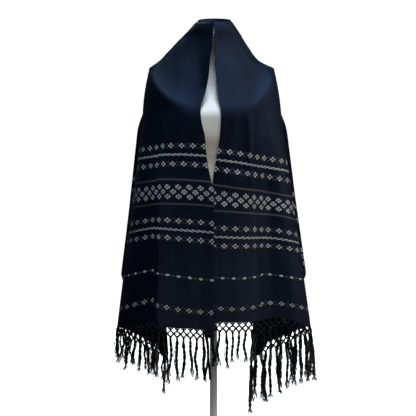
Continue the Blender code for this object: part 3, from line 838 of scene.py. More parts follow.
class Paint(Wiring):
    """A material and the sums in it."""

    def __init__(self, name):
        self.mat = bpy.data.materials.new(name)
        self.mat.use_nodes = True
        super().__init__(self.mat.node_tree)
        self.skin = self.tree.nodes["Principled BSDF"]

    def place(self):
        return self.node("ShaderNodeTexCoord").outputs["Object"]

    def blend(self, share, a, b):
        a, b = (c if hasattr(c, "is_output") else (*c, 1.0) for c in (a, b))
        return self.node("ShaderNodeMix", {0: share, 6: a, 7: b}, data_type="RGBA").outputs[2]

    def spots(self, where, scale, detail=2.0, rough=.5):
        return self.node("ShaderNodeTexNoise", {"Vector": where, "Scale": scale,
                                                "Detail": detail, "Roughness": rough}).outputs[0]

    def grow(self, vector, x, y, z=1.0):
        return self.node("ShaderNodeVectorMath", {0: vector, 1: (x, y, z)},
                         operation="MULTIPLY").outputs[0]

    def range(self, *values):
        """value, low and high, and what those two become."""
        return self.node("ShaderNodeMapRange", dict(enumerate(values))).outputs[0]

    def bump(self, height, distance, strength, under=None):
        joined = {"Strength": strength, "Distance": distance, "Height": height}
        if under is not None:
            joined["Normal"] = under
        return self.node("ShaderNodeBump", joined).outputs[0]

    def finish(self, colour, rough, normal=None, **fixed):
        self.join(colour, self.skin.inputs["Base Color"])
        self.join(rough, self.skin.inputs["Roughness"])
        if normal is not None:
            self.join(normal, self.skin.inputs["Normal"])
        for key, value in fixed.items():
            self.skin.inputs[key.replace("_", " ")].default_value = value
        return self.mat


NAVY = (.0007, .0013, .0038)
NAVY_LIGHT = (.0105, .0125, .0205)
YARN = (.56, .56, .555)
YARN_WARM = (.074, .064, .066)
THREAD = .0011


def diamond(w, u, v, half_w, half_h):
    return w.plus(w.times(w.size(u), 1 / half_w), w.times(w.size(v), 1 / half_h))


def within(w, x, reach):
    return w.less(w.size(x), reach)


def flower(w, u, v, reach_u, reach_v, petal):
    """Four petals round a dark middle."""
    beside = diamond(w, w.plus(w.size(u), -reach_u), v, petal * 1.1, petal)
    above = diamond(w, u, w.plus(w.size(v), -reach_v), petal * 1.1, petal)
    return w.less(w.sum("MINIMUM", beside, above), 1.0)


def cell(w, u, pitch, shift):
    """Distance from the nearest centre of a repeat."""
    return w.times(w.plus(w.sum("FRACT", w.plus(w.times(u, 1 / pitch), shift)), -.5), pitch)


def four_dots(w, u, v, reach_u, reach_v, half):
    return w.less(diamond(w, w.plus(w.size(u), -reach_u), w.plus(w.size(v), -reach_v),
                          half, half), 1.0)


def cotton_cloth(name, painted_light_low, pleat_shade_u, beyond=-.05):
    """Navy cotton with woven bands, with painted light: paler towards its fringed end up to the
    pleat, less pale or darker past it as painted shade.
    """
    w = Paint(name)
    uv = w.node("ShaderNodeUVMap", uv_map="weave").outputs[0]
    u, v = w.node("ShaderNodeSeparateXYZ", {0: uv}).outputs[:2]

    def by_thread(x):
        return w.times(w.plus(w.sum("FLOOR", w.times(x, 1 / THREAD)), .5), THREAD)
    # a hand-held loom never beats quite straight
    wander = w.times(w.plus(w.spots(w.grow(uv, 1, 1), 26.0), -.5), .0022)
    uq, vq = by_thread(u), by_thread(w.plus(v, wander))
    here, between = cell(w, uq, MOTIF, .5), cell(w, uq, MOTIF, .0)

    def off_band(name):
        return w.plus(vq, -BANDS[name])

    white, faint = [], []
    for name in ("small flowers", "low flowers", "low flowers 2", "high flowers",
                 "high flowers 2"):
        dv = off_band(name)
        small = name == "small flowers"
        white.append(flower(w, here, dv, .0054 if small else .0058, .0046 if small else .0051,
                            .0030 if small else .0034))
        faint.append(four_dots(w, between, dv, .0042, .0050, .0030))
    # the dashed row
    dv = off_band("dashes")
    for pitch, shift, half, store in ((MOTIF, .5, .0074, white), (MOTIF, .0, .0062, faint)):
        du = cell(w, uq, pitch, shift)
        store.append(w.less(diamond(w, du, dv, half, .0042), 1.0))
    faint.append(w.times(within(w, dv, .0008), .6))
    # the twisted chains: slanting strokes that overlap like the turns of a rope
    for name in ("low chain", "high chain"):
        dv = off_band(name)
        for shift in (.0, .5):
            du = cell(w, u, .0330, shift)
            off = w.size(w.plus(dv, w.times(du, -.30)))
            thick = w.range(w.size(du), .0040, .0110, .0017, .0006)
            white.append(w.times(w.less(off, thick), within(w, du, .0110)))
    # the wide band: three rows of flowers in a lattice
    dv = off_band("wide band")
    row = .0142
    for k in (-1, 0, 1):
        centre = here if k else between
        white.append(flower(w, centre, w.plus(dv, -k * row), .0059, .0049, .0034))
    for sign in (1, -1):
        s = w.plus(w.times(uq, 1 / MOTIF), w.times(dv, sign / (2 * row)))
        faint.append(w.times(within(w, w.plus(w.sum("FRACT", s), -.5), .060),
                             within(w, dv, .0210)))
    # plain lines of warm thread
    warm = w.either(*[within(w, off_band(n), .0027) for n in ("low line", "high line")])
    white, faint = w.either(*white), w.either(*faint)

    # thread colour: slubs along both ways of the weave, paler in random patches where it rubs
    slub_u = w.spots(w.grow(uv, 90, 1400), 1.0, 1.0)
    slub_v = w.spots(w.grow(uv, 1400, 90), 1.0, 1.0)
    slub = w.times(w.plus(slub_u, slub_v), .5)
    rub = w.spots(w.grow(uv, 1, 1), 7.0, 4.0, .6)
    stripes = w.spots(w.grow(uv, 3, 420), 1.0, 2.0)
    # painted light and shade: paler towards the fringed end, more on the right front than the left,
    # and less pale or darker past the pleat
    painted_light = w.times(w.range(v, .45, .02, .0, painted_light_low), w.range(u, *pleat_shade_u, 1.0, beyond))
    share = w.plus(w.plus(w.times(rub, .40), painted_light),
                   w.plus(w.times(slub, .40), w.times(stripes, .22)))
    ground = w.blend(w.range(share, .49, .92, .0, 1.0), NAVY, NAVY_LIGHT)
    yarn_white, yarn_warm = (
        w.blend(w.range(slub, .35, .62, .0, 1.0), tuple(low * c for c in yarn), yarn)
        for low, yarn in ((.62, YARN), (.7, YARN_WARM)))
    colour = w.blend(w.times(faint, .82), ground, yarn_warm)
    colour = w.blend(w.times(warm, .88), colour, yarn_warm)
    colour = w.blend(w.times(white, .95), colour, yarn_white)

    # over and under: each thread is rounded, raised in the brocaded figures
    weft, warp = (w.sum("SINE", w.times(x, math.pi / THREAD)) for x in (u, v))
    plain = w.times(w.times(weft, warp), .5)
    height = w.plus(plain, w.plus(w.times(w.either(white, w.times(warm, .5)), 1.2), slub))
    fine = w.bump(height, .00035, .55)
    soft = w.bump(w.spots(w.grow(uv, 22, 7), 1.0, 3.0, .55), .0035, .35, fine)
    rough = w.range(share, .3, .8, .52, .59)
    return w.finish(colour, rough, soft, Sheen_Weight=.009, Sheen_Roughness=.45,
                    Sheen_Tint=(.62, .76, 1.0, 1.0), Specular_IOR_Level=.25,
                    Specular_Tint=(.28, .50, 1.0, 1.0))


def cotton_fringe():
    w = Paint("knotted cotton fringe")
    fade = w.node("ShaderNodeAttribute", attribute_name="fade").outputs["Fac"]
    where = w.place()
    strand = w.spots(w.grow(where, 1, 1, .25), 900.0, 2.0)
    patch = w.spots(w.grow(where, 1, 1, .5), 60.0, 2.0)
    dark = w.blend(w.range(strand, .4, .62, 0.0, 1.0), (.0022, .0030, .0058),
                   (.008, .0095, .014))
    pale = w.blend(w.range(strand, .38, .62, 0.0, 1.0), (.105, .085, .070), (.30, .265, .23))
    share = w.sum("MULTIPLY", fade, w.range(patch, .35, .60, .35, 1.0), limit=True)
    colour = w.blend(share, dark, pale)
    normal = w.bump(strand, .0004, .5)
    return w.finish(colour, w.range(patch, .3, .7, .72, .88), normal, Sheen_Weight=.015,
                    Sheen_Roughness=.5, Sheen_Tint=(.7, .78, .95, 1.0), Specular_IOR_Level=.10)


def form_cover():
    w = Paint("white jersey cover")
    where = w.place()
    fine = w.spots(w.grow(where, 1, 1, 1.8), 700.0, 2.0)
    broad = w.spots(where, 9.0, 3.0)
    z = w.node("ShaderNodeSeparateXYZ", {0: where}).outputs[2]
    # painted light: the cover is warm below 0.89 m and cool above 1.07 m, standing in for warm
    # light from below and cool light from above
    colour = w.blend(w.range(z, .89, .96, .0, 1.0), (.88, .75, .64), (.76, .73, .705))
    colour = w.blend(w.range(z, 1.01, 1.07, .0, 1.0), colour, (.85, .85, .86))
    colour = w.blend(w.range(broad, .35, .7, .10, .0), colour, (.70, .68, .66))
    colour = w.blend(w.range(fine, .3, .7, 0.0, .10), colour, (.62, .58, .53))
    return w.finish(colour, w.range(fine, .3, .7, .50, .64), w.bump(fine, .0003, .4),
                    Sheen_Weight=.12, Specular_IOR_Level=.4)


def satin_paint(name, shade, roughness):
    w = Paint(name)
    where = w.place()
    peel = w.spots(where, 420.0, 2.0)
    broad = w.spots(where, 14.0, 3.0)
    colour = w.blend(w.range(broad, .35, .7, .0, 1.0), tuple(.93 * c for c in shade), shade)
    return w.finish(colour, w.range(broad, .3, .7, roughness - .05, roughness + .08),
                    w.bump(peel, .0002, .3), Specular_IOR_Level=.5)


# ---- fringe -----------------------------------------------------------------------------------
def fringe_tree(mat):
    """Cords and knots from a plan of lines and points.

    Lines become twisted cords, thin ones single hairs; loose points become knots.
    """
    tree = bpy.data.node_groups.new("fringe maker", "GeometryNodeTree")
    for name, way, kind in (("Geometry", "INPUT", "Geometry"), ("Seed", "INPUT", "Int"),
                            ("Geometry", "OUTPUT", "Geometry")):
        tree.interface.new_socket(name=name, in_out=way, socket_type="NodeSocket" + kind)
    w = Wiring(tree)

    def part(kind, joined=None, **settings):
        return w.node("GeometryNode" + kind, joined, **settings).outputs

    def named(name, kind="FLOAT"):
        return part("InputNamedAttribute", {"Name": name}, data_type=kind)["Attribute"]

    def chosen(geometry, name, above):
        return part("SeparateGeometry", {"Geometry": geometry, "Selection": w.sum(
            "GREATER_THAN", named(name), above)}, domain="POINT")

    def circle(points, radius=1.0):
        return part("CurvePrimitiveCircle", {"Resolution": points, "Radius": radius})[0]

    def together(*parts):
        made = w.node("GeometryNodeJoinGeometry")
        for one in parts:
            w.join(one, made.inputs[0])
        return made.outputs[0]

    def swept(mesh, profile, twist):
        line = part("MeshToCurve", {0: mesh})[0]
        if twist:
            line = part("ResampleCurve", {"Curve": line, "Length": SPACING}, mode="LENGTH")[0]
            turned = w.times(w.times(part("SplineParameter")["Length"], TURNS), 2 * math.pi)
            line = part("SetCurveTilt", {"Curve": line, "Tilt": turned})[0]
        return part("CurveToMesh", {"Curve": line, "Profile Curve": profile,
                                    "Scale": named("girth"), "Fill Caps": True})[0]

    plan = w.node("NodeGroupInput").outputs
    knots = chosen(plan["Geometry"], "knot", .00001)
    hairs = chosen(knots["Inverted"], "hair", .5)

    # a cord's section has three lobes, one for each ply
    spot = part("InputPosition")[0]
    x, y = w.node("ShaderNodeSeparateXYZ", {0: spot}).outputs[:2]
    swell = w.plus(1.0, w.times(LOBE, w.sum("COSINE", w.times(w.sum("ARCTAN2", y, x), 3.0))))
    bigger = w.node("ShaderNodeVectorMath", {0: spot, "Scale": swell}, operation="SCALE")
    lobed = part("SetPosition", {"Geometry": circle(9), "Position": bigger.outputs[0]})[0]
    cords = swept(hairs["Inverted"], lobed, True)
    strays = swept(hairs["Selection"], circle(3), False)

    # one knot: a short coil round a core, one unit tall
    coil = part("CurveSpiral", {"Resolution": 9, "Rotations": 2.4, "Start Radius": .66,
                                "End Radius": .58, "Height": 1.25})[0]
    wound = part("CurveToMesh", {"Curve": coil, "Profile Curve": circle(5, .36),
                                 "Fill Caps": True})[0]
    wound = part("Transform", {"Geometry": wound, "Translation": (0, 0, -.62)})[0]
    core = part("MeshIcoSphere", {"Radius": .72, "Subdivisions": 2})[0]
    aim = w.node("FunctionNodeAlignRotationToVector", {"Vector": named("axis", "FLOAT_VECTOR")},
                 axis="Z")
    chance = w.node("FunctionNodeRandomValue", {0: (-.35, -.35, -3.1), 1: (.35, .35, 3.1),
                                                "Seed": plan["Seed"]}, data_type="FLOAT_VECTOR")
    roll = w.node("FunctionNodeRotateRotation", {0: aim.outputs[0], 1: chance.outputs[0]},
                  rotation_space="LOCAL")
    set_out = part("InstanceOnPoints", {
        "Points": knots["Selection"], "Instance": together(wound, core),
        "Rotation": roll.outputs[0], "Scale": named("knot")})[0]

    smooth = part("SetShadeSmooth", {"Geometry": together(cords, strays, set_out)})[0]
    real = part("RealizeInstances", {0: smooth})[0]
    dyed = part("SetMaterial", {"Geometry": real, "Material": mat})[0]
    w.node("NodeGroupOutput", {0: dyed})
    return tree


class FringePlan:
    """Lines and points for the fringe maker."""

    def __init__(self):
        self.co, self.edges = [], []
        self.data = {"girth": [], "fade": [], "knot": [], "hair": [], "axis": []}

    def point(self, p, girth, fade, knot=0.0, hair=0.0, axis=(0, 0, 1)):
        self.co.append(tuple(p))
        for key, value in zip(self.data, (girth, fade, knot, hair, tuple(axis))):
            self.data[key].append(value)
        return len(self.co) - 1

    def cord(self, pts, girths, fades, hair=0.0):
        ids = [self.point(p, g, f, 0.0, hair) for p, g, f in zip(pts, girths, fades)]
        self.edges += list(zip(ids, ids[1:]))

    def mesh(self, name):
        mesh = bpy.data.meshes.new(name)
        mesh.from_pydata(self.co, self.edges, [])
        for key, values in self.data.items():
            kind = "FLOAT_VECTOR" if key == "axis" else "FLOAT"
            layer = mesh.attributes.new(key, kind, "POINT")
            field = "vector" if key == "axis" else "value"
            layer.data.foreach_set(field, np.array(values, dtype=np.float32).ravel())
        return mesh


def along(line, s):
    pts, run = line
    s = max(0.0, min(run[-1], s))
    i = max(0, min(len(run) - 2, int(np.searchsorted(run, s, side="right")) - 1))
    t = (s - run[i]) / max(run[i + 1] - run[i], 1e-9)
    return pts[i].lerp(pts[i + 1], t)


def heading(line, s):
    d = along(line, s + .004) - along(line, s - .004)
    d.z = 0.0
    return d.normalized()


def bent(marks, t):
    """A smooth curve through marks, t from 0 to 1."""
    n = len(marks) - 1
    i = min(int(t * n), n - 1)
    k = t * n - i
    near = [marks[max(0, min(n, j))] for j in (i - 1, i, i + 1, i + 2)]
    return [cubic(p, k) for p in zip(*near)]


# the left corner's knots have come together into a thick bunch: metres along the hem and down
BUNCH = (((.0234, .004), (.0200, .022), (.0161, .041), (.0147, .079), (.0190, .110), (.025, .141)),
         ((.0200, .004), (.0175, .022), (.0150, .041), (.0140, .079), (.0105, .110), (.0088, .141)),
         ((.0060, .006), (.0035, .018), (.0000, .050), (-.0040, .080), (-.0062, .103)))


def fringe_piece(name, side, hem, tree):
    """Knotted net and tassels hung from the cloth's lower edge."""
    run = [0.0]
    for p, q in zip(hem, hem[1:]):
        run.append(run[-1] + (q - p).length)
    line = (hem, run)
    total = run[-1]
    chance = random.Random(SEEDS[side])
    plan = FringePlan()
    start = pick(side, .0285, .0050)
    count = int((total - start - .004) / FRINGE_PITCH) + 1
    pitch = (total - start - .006) / (count - 1)
    centres = [start + i * pitch for i in range(count)]

    def put(s, w, out=0.0, sideways=0.0):
        head = heading(line, s)
        normal = Vector((head.y, -head.x, 0.0)) * side
        p = along(line, s) + head * (sideways + min(s, 0.0))
        p = p - normal * (WALL / 2) + normal * out
        p.x += side * look(TASSELS, s, 3) * w
        p.z -= w
        return p

    def strand(a, b, sag=.0008, fade=.02):
        pts = [a.lerp(b, t / 6) for t in range(7)]
        for t, p in enumerate(pts):
            p.z -= sag * math.sin(math.pi * t / 6)
        plan.cord(pts, [NET_GIRTH] * 7, [fade] * 7)

    def gathered(a, m, b, lower, girths, fade):
        plan.cord([a, a.lerp(m, .5), m, m.lerp(b, lower), b], girths, [fade] * 5)

    def knot(p, size, axis=(0, 0, 1), fade=.02):
        plan.point(p, 0.0, fade, size, 0.0, axis)

    def wander():
        return chance.uniform(-.0007, .0007)

    # threads of the cloth gathered into the first knots, then two rows of netting
    tops = [put(c, .0080, wander()) for c in centres]
    for c, top in zip(centres, tops):
        for k in range(-4, 5):
            s = c + k * pitch / 9.0
            gathered(put(s, -.0012), put(mix(s, c, .30), .0036), top + Vector((0, 0, .0012)),
                     .55, [.0011, .0012, .0013, .0014, .0014], .01)
        knot(top, KNOT)
    mids = [put(c + pitch / 2 + wander(), NET_1 + wander(), wander()) for c in centres[:-1]]
    for i, mid in enumerate(mids):
        for top in tops[i:i + 2]:
            strand(top, mid)
        knot(mid, KNOT)
    ends = [put(c + wander(), NET_2 + wander(), wander()) for c in centres]
    for i, end in enumerate(ends):
        for j in (i - 1, i):
            top = mids[j] if 0 <= j < len(mids) else tops[i]
            strand(top, end)
        knot(end, END_KNOT)

    def tassel(path, girth, fades, steps=18):
        """Two plies wound loosely round each other."""
        turn = chance.uniform(0, 6.28)
        lay = chance.uniform(.020, .034)
        for ply in (0, math.pi):
            pts = []
            for t in range(steps + 1):
                p, w = path(t / steps)
                k = 2 * math.pi * w / lay + turn + ply
                wide = .48 * girth * ease(t / 3) * (1 if t < steps else .3)
                pts.append(p + Vector((wide * math.cos(k), wide * math.sin(k), 0)))
            grow = [girth * (1.0 + .14 * math.sin(t * 1.3 + turn)) for t in range(steps + 1)]
            plan.cord(pts, grow, [fades * ease(t / steps * 1.7) for t in range(steps + 1)])
        return path(1.0)[0], (path(.94)[0] - path(1.0)[0]).normalized()

    def frayed(root, tail, paleness, spread=.0080, count=22):
        for _ in range(count):
            swing = Vector((chance.uniform(-spread, spread), chance.uniform(-spread, spread) * .7,
                            0))
            reach = tail * chance.uniform(.55, 1.08)
            bend = chance.uniform(-.0028, .0028)
            pts = []
            for t in range(7):
                k = t / 6
                p = root + swing * (k ** .75) + Vector((bend * math.sin(3.6 * k), 0, -reach * k))
                p.z = max(p.z, .004)
                pts.append(p)
            plan.cord(pts, [.00072 * (1 - .35 * t / 6) for t in range(7)],
                      [paleness + (.95 - paleness) * ease(t / 3.4) for t in range(7)], 1.0)

    for i, c in enumerate(centres):
        drop = sided(TASSELS, side, c) * chance.uniform(.90, 1.07)
        amp = [chance.uniform(.0016, .0040) for _ in range(2)]
        beat = [chance.uniform(1.0, 2.8) for _ in range(2)]
        phase = [chance.uniform(0, 6.28) for _ in range(2)]
        lean = (chance.uniform(-.007, .007), chance.uniform(-.003, .003))
        rear = ease((c - .27) / .05) if side > 0 else 0.0
        # on the right the rear tassels are frayed pale and some have wound into pairs
        pull = (.5, -.5, 0.0)[i % 3] * pitch * rear
        paleness = chance.choice((.05, .10, .20, .45)) + .45 * rear
        tied = chance.random() < .72
        tie = mix(NET_2, drop, chance.uniform(.70, .86)) if tied else drop - .008

        # the right front's first tassel hangs behind the left front's corner, clear of it
        behind = .0050 if side > 0 and i == 0 else 0.0

        def path(t, stop=None):
            w = mix(NET_2 + .001, tie if stop is None else stop, t)
            u = (w - NET_2) / (drop - NET_2)
            x, y = ((amp[k] * (math.sin(beat[k] * math.pi * u + phase[k]) - math.sin(phase[k])))
                    * ease(u * 2.0) for k in (0, 1))
            out = y * .7 + lean[1] * u
            if behind:
                out = -abs(out) - behind * ease(u * 3.0)
            return put(c, w, out, x + lean[0] * u + pull * ease(u * 2.2)), w

        thick = pick(side, mix(.0036, .0026, ease((c - .22) / .05)), .0032)
        root, axis = tassel(path, thick * chance.uniform(.85, 1.15) * (1 + .35 * rear),
                            paleness * .4)
        # a thin thread that has worked loose beside some cords
        if chance.random() < .5:
            gap = chance.choice((-1, 1)) * chance.uniform(.0040, .0080)
            stop = mix(NET_2, drop, chance.uniform(.5, .9))
            loose = []
            for t in range(13):
                p, w = path(t / 12, stop)
                loose.append(p + Vector((gap * math.sin(math.pi * .85 * t / 12), 0, 0)))
            plan.cord(loose, [.0011] * 13, [paleness] * 13)
        for _ in range(4):
            a = chance.uniform(.05, .6)
            b = a + chance.uniform(.15, .40)
            gap = chance.uniform(-.0065, .0065)
            pts = [path(mix(a, b, t / 6))[0] + Vector((gap * math.sin(math.pi * .6 * t / 6), 0, 0))
                   for t in range(7)]
            plan.cord(pts, [.00045] * 7, [.75] * 7, 1.0)
        if tied:
            knot(root, .0043, axis, paleness * .6)
        frayed(root, max(drop - tie, .014), paleness, .0080 + .0014 * rear,
               22 + int(8 * rear))

    if side < 0:
        # the bunched corner: threads drawn together, then three thick smooth tassels
        for k in range(16):
            s = mix(-.0005, .0270, k / 15)
            foot = mix(.0030, .0215, k / 15) + chance.uniform(-.0012, .0012)
            a, b = put(s, -.0012), put(foot, .0180 + chance.uniform(-.003, .005), wander())
            m = a.lerp(b, .5) + Vector((0, chance.uniform(-.0012, .0012), 0))
            gathered(a, m, b, .5, [.0018, .0023, .0027, .0027, .0022], .0)
        for j, marks in enumerate(BUNCH):
            def smooth(t, marks=marks, j=j):
                s, w = bent(marks, t)
                return put(s, w, .0012 * (j - 1) + .0060 * ease(w / .030))
            steps = 22
            pts = [smooth(t / steps) for t in range(steps + 1)]
            plan.cord(pts, [.0045 * (1 - .12 * t / steps) for t in range(steps + 1)],
                      [.0] * (steps + 1))
            if marks[0][1] > .005:
                knot(pts[3], .0052)
        knot(put(.0195, .0150), .0056)

    obj = placed(name, plan.mesh(name))
    maker = obj.modifiers.new("fringe maker", "NODES")
    maker.node_group = tree
    maker[tree.interface.items_tree["Seed"].identifier] = 5 + side
    return bake_modifiers(obj)


# ---- form and stand ---------------------------------------------------------------------------
def form_piece(name, mat, around=96):
    """The dress form from its foot to the cut of its neck."""
    heights = [1.222, 1.2195, 1.217, 1.213] + [1.213 - .0052 * i for i in range(1, 26)]
    z = heights[-1]
    while z > FORM_FOOT + .008:
        z -= .0075
        heights.append(max(z, FORM_FOOT + .006))
    heights = sorted(set(round(h, 5) for h in heights), reverse=True)
    rings = [(h, 0.0) for h in heights] + [(FORM_FOOT + .003, .0008), (FORM_FOOT + .001, .0024),
                                           (FORM_FOOT, .005)]
    bm = bmesh.new()
    loops = []
    for z, inset in rings:
        wide = look(FORM_NECK, z, 1) if z > FORM_CUT else look(FORM, z, 1)
        row = []
        for i in range(around):
            a = 2 * math.pi * i / around
            sx, sy = math.sin(a), -math.cos(a)
            square = look(FORM, z, 4)
            if z >= 1.212:
                x, y = NECK_X + wide * sx, wide * sy
            else:
                power = 2.0 / square
                shift = NECK_X * clamp((z - 1.10) / .10)
                x = math.copysign(abs(sx) ** power, sx) * wide + shift
                back = sy > 0
                shape = look(FORM, z, 3 if back else 2) * abs(sy) ** power
                roof = min(depth(s, abs(x), z, back) for s in (-1, 1)) - .0080
                if not back:
                    roof -= .046 * soft_min(clamp((z - .952) / .10), .95, .2) * ease(
                        (1.20 - z) / .03)
                lift = clamp((z - 1.198) / .014)
                shape = mix(soft_min(shape, max(roof, .002), .012), wide * abs(sy), lift)
                y = math.copysign(shape, sy)
            k = 1.0 - inset / math.hypot(x, y)
            row.append(bm.verts.new((x * k, y * k, z)))
        loops.append(row)
    for a, b in zip(loops, loops[1:]):
        for i in range(around):
            j = (i + 1) % around
            bm.faces.new((a[i], a[j], b[j], b[i]))
    bm.faces.new(loops[0])
    bm.faces.new(loops[-1])
    return plain_piece(name, mesh_of(name, bm), mat, 50)


def plain_piece(name, mesh, mat, sharp):
    obj = placed(name, mesh)
    mesh.materials.append(mat)
    mesh.shade_smooth()
    mesh.set_sharp_from_angle(angle=math.radians(sharp))
    return obj


def turned_piece(name, profile, mat, steps, x=0.0):
    """A solid turned from half a profile that starts and ends on the axis."""
    bm = bmesh.new()
    rings = []
    for r, z in profile:
        if r < 1e-6:
            rings.append([bm.verts.new((x, 0, z))])
        else:
            rings.append([bm.verts.new((x + r * math.cos(2 * math.pi * i / steps),
                                        r * math.sin(2 * math.pi * i / steps), z))
                          for i in range(steps)])
    for a, b in zip(rings, rings[1:]):
        for i in range(steps):
            j = (i + 1) % steps
            quad = [a[i % len(a)], a[j % len(a)], b[j % len(b)], b[i % len(b)]]
            bm.faces.new(list(dict.fromkeys(quad)))
    return plain_piece(name, mesh_of(name, bm), mat, 45)


# ---- the pieces -------------------------------------------------------------------------------
# the two fronts are lit and shaded copies of one cloth: the right one is painted paler, painted
# light for the side the light comes from
cotton = {-1: cotton_cloth("navy cotton with woven bands left", .38, (.188, .203)),
          1: cotton_cloth("navy cotton with woven bands right", .64, (.162, .200), .36)}
maker_tree = fringe_tree(cotton_fringe())


def dress(piece, node):
    """Says what a piece rides on and hides the solid it stands for."""
    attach(piece, "root")
    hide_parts(node)
    return piece


SEAM_AT = .36
backs = []
for side, word in ((-1, "left"), (1, "right")):
    front = front_lines(side)
    folds = side_lines(side, spread(0, 0.0, 1.0, 20) + spread(1, 0.0, 1.0, 22)
                       + spread(2, 0.0, SEAM_AT, 9) + [(2, SEAM_AT)])
    u_front, v_front = front_map(side, front)
    edge_z = np.array([p.z for p in front[-1]["pts"]])
    u_fold, v_fold = fold_map(side, folds, u_front[-1], v_front[-1], edge_z)
    start_u = pick(side, *START_U)
    u_front, u_fold = u_front + start_u, u_fold + start_u
    piece, flat, area, co = cloth_piece("cloth_front_" + word + "_woven",
                                        [(front, u_front, v_front, side),
                                         (folds, u_fold, v_fold, side)], cotton[side])
    dress(piece, "cloth_front_" + word)

    # fringed end: the lower edge from the opening to the cloth's corner
    corner = (math.degrees(math.atan(CLOTH_V / CLOTH_H)) - FOLDS["in"][0]) / (
        FOLDS["side"][0] - FOLDS["in"][0])
    hem = [Vector(co[i, -1]) for i in range(len(front))]
    hem += [Vector(co[len(front) + i, -1]) for i, f in enumerate(folds)
            if f["seg"] == 0 or (f["seg"] == 1 and f["lam"] < corner)]
    tassels = dress(fringe_piece("fringe_" + word + "_knotted", side, hem, maker_tree),
                    "fringe_" + word)

    back_folds = side_lines(side, spread(2, SEAM_AT, 1.0, 14) + spread(3, 0.0, 1.0, 14)
                            + spread(4, 0.0, 1.0, 16))
    middle = middle_lines(side, 26)
    edge = u_front[-1] - start_u, v_front[-1], edge_z
    u_m, v_m = fold_map(side, middle, *edge)
    backs.append((back_folds, *fold_map(side, back_folds, *edge),
                  middle, u_m, v_m + run_across(middle)))

(lf, lu, lv, lm, lmu, lmv), (rf, ru, rv, rm, rmu, rmv) = backs
back_piece, flat, area, _ = cloth_piece(
    "cloth_back_woven",
    [(lf, lu, lv, -1), (lm, lmu, lmv, -1), (centre_line(), lmu[-1:], lmv[-1:] + .004, -1),
     (rm[::-1], rmu[::-1], rmv[::-1], 1), (rf[::-1], ru[::-1], rv[::-1], 1)], cotton[-1])
dress(back_piece, "cloth_back")

dress(form_piece("form_torso_cover", form_cover()), "form_torso")

# radius and height above the form's neck
CAP = ((0.0, 0.0), (.0372, 0.0), (.0381, .0004), (.0384, .0012), (.0380, .0020), (.0366, .0026),
       (.034, .0031), (.028, .0039), (.022, .0044), (.012, .0048), (0.0, .0050))
dress(turned_piece("form_neck_cap_turned", [(r, FORM_NECK[-1][0] + AIR + z) for r, z in CAP],
                   satin_paint("satin white cap", (.80, .79, .77), .42), 72, NECK_X),
      "form_neck_cap")

paint = satin_paint("satin white paint", (.80, .80, .79), .36)
dress(turned_piece("stand_pole_painted",
                   [(0.0, BASE_T + AIR), (POLE_R, BASE_T + AIR), (POLE_R, .2),
                    (POLE_R, FORM_FOOT - AIR), (0.0, FORM_FOOT - AIR)], paint, 48),
      "stand_pole")
dress(turned_piece("stand_base_painted",
                   [(0.0, 0.0), (BASE_R - .0008, 0.0), (BASE_R, .0008), (BASE_R, BASE_T - .0040),
                    (BASE_R - .0004, BASE_T - .0022), (BASE_R - .0014, BASE_T - .0010),
                    (BASE_R - .0032, BASE_T - .0002), (BASE_R - .006, BASE_T), (.06, BASE_T),
                    (0.0, BASE_T)], paint, 120),
      "stand_base")


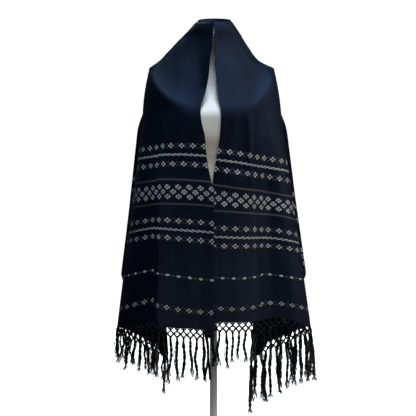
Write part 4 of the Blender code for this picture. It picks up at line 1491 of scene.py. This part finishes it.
# ---- stage ------------------------------------------------------------------------------------
def backdrop(reach=9.0, steps=64):
    """A round pale floor under a pale dome, so that every view has a plain ground."""
    profile = [(0.0, 0.0), (1.0, 0.0), (3.0, 0.0), (6.0, 0.0)]
    profile += [(reach * math.cos(a), reach * math.sin(a))
                for a in [math.pi / 2 * i / 12 for i in range(13)]]
    co, faces = [], []
    for r, z in profile:
        co += [(r * math.cos(2 * math.pi * i / steps), r * math.sin(2 * math.pi * i / steps), z)
               for i in range(steps)]
    for k in range(len(profile) - 1):
        for i in range(steps):
            j = (i + 1) % steps
            faces.append((k * steps + i, k * steps + j, (k + 1) * steps + j,
                          (k + 1) * steps + i))
    mesh = bpy.data.meshes.new("pale floor")
    mesh.from_pydata(co, [], faces)
    bm = bmesh.new()
    bm.from_mesh(mesh)
    bmesh.ops.remove_doubles(bm, verts=bm.verts, dist=1e-5)
    bm.to_mesh(mesh)
    bm.free()
    mesh.shade_smooth()
    w = Paint("pale floor paint")
    where = w.place()
    tone = w.blend(w.spots(where, 1.2, 2.0), (.90, .90, .90), (.93, .93, .93))
    far = w.node("ShaderNodeVectorMath", {0: where}, operation="LENGTH")
    w.finish(tone, .9, None, Emission_Color=(1, 1, 1, 1))
    w.join(w.range(far.outputs["Value"], .8, 3.5, .70, 1.0), w.skin.inputs["Emission Strength"])
    mesh.materials.append(w.mat)
    obj = placed("floor", mesh)
    # it stays plain and pale without throwing its own light back on the cloth
    obj.visible_diffuse = False
    obj.visible_glossy = False
    obj.visible_shadow = False
    return obj


backdrop()


def soft_box(name, where, target, size, power, colour, shines=True):
    light = bpy.data.lights.new(name, "AREA")
    light.shape = "RECTANGLE"
    light.size, light.size_y = size
    light.energy = power
    light.color = colour
    obj = placed(name, light)
    obj.location = where
    obj.rotation_euler = (Vector(target) - Vector(where)).to_track_quat("-Z", "Y").to_euler()
    obj.visible_glossy = shines


soft_box("overhead softbox", (.20, -.95, 3.2), (0, -.1, 1.0), (1.0, .7), 80, (.70, .87, 1.0))
soft_box("side softbox", (2.4, -.65, 2.0), (0, 0, .75), (1.0, 1.2), 38, (1.0, .93, .78))
soft_box("front fill", (.4, -2.8, 1.1), (0, 0, .7), (1.2, 1.2), 9, (1.0, .76, .54), False)
soft_box("rear overhead softbox", (-.5, 1.3, 3.1), (0, .1, 1.0), (1.2, .8), 17, (.6, .78, 1.0))
soft_box("left rear fill", (-1.9, 2.0, 1.2), (0, .1, .75), (1.2, 1.2), 3, (.7, .8, 1.0), False)
soft_box("right rear fill", (2.0, 1.9, 1.0), (0, .1, .75), (1.2, 1.2), 5, (.7, .8, 1.0), False)
soft_box("back fill", (.3, 2.9, 1.4), (0, .1, .75), (1.4, 1.4), 30, (1.0, .97, .93), False)

world = bpy.data.worlds.new("studio")
world.use_nodes = True
sky = world.node_tree.nodes["Background"]
sky.inputs[0].default_value = (.48, .72, 1.0, 1.0)
sky.inputs[1].default_value = .055
bpy.context.scene.world = world

SENSOR, AWAY = 36.0, 3.0   # width in mm, metres from the form's middle
IMAGE, PIXEL = 416, .00305   # picture's width in pixels, metres a pixel at the form's middle
camera = bpy.data.cameras.new("camera")
camera.sensor_width = SENSOR
camera.lens = SENSOR * AWAY / (IMAGE * PIXEL)
view = placed("camera", camera)
view.location = (-.0168, -AWAY, .681)
view.rotation_euler = (math.pi / 2, 0, 0)
bpy.context.scene.camera = view
bpy.context.scene.view_settings.view_transform = "Standard"
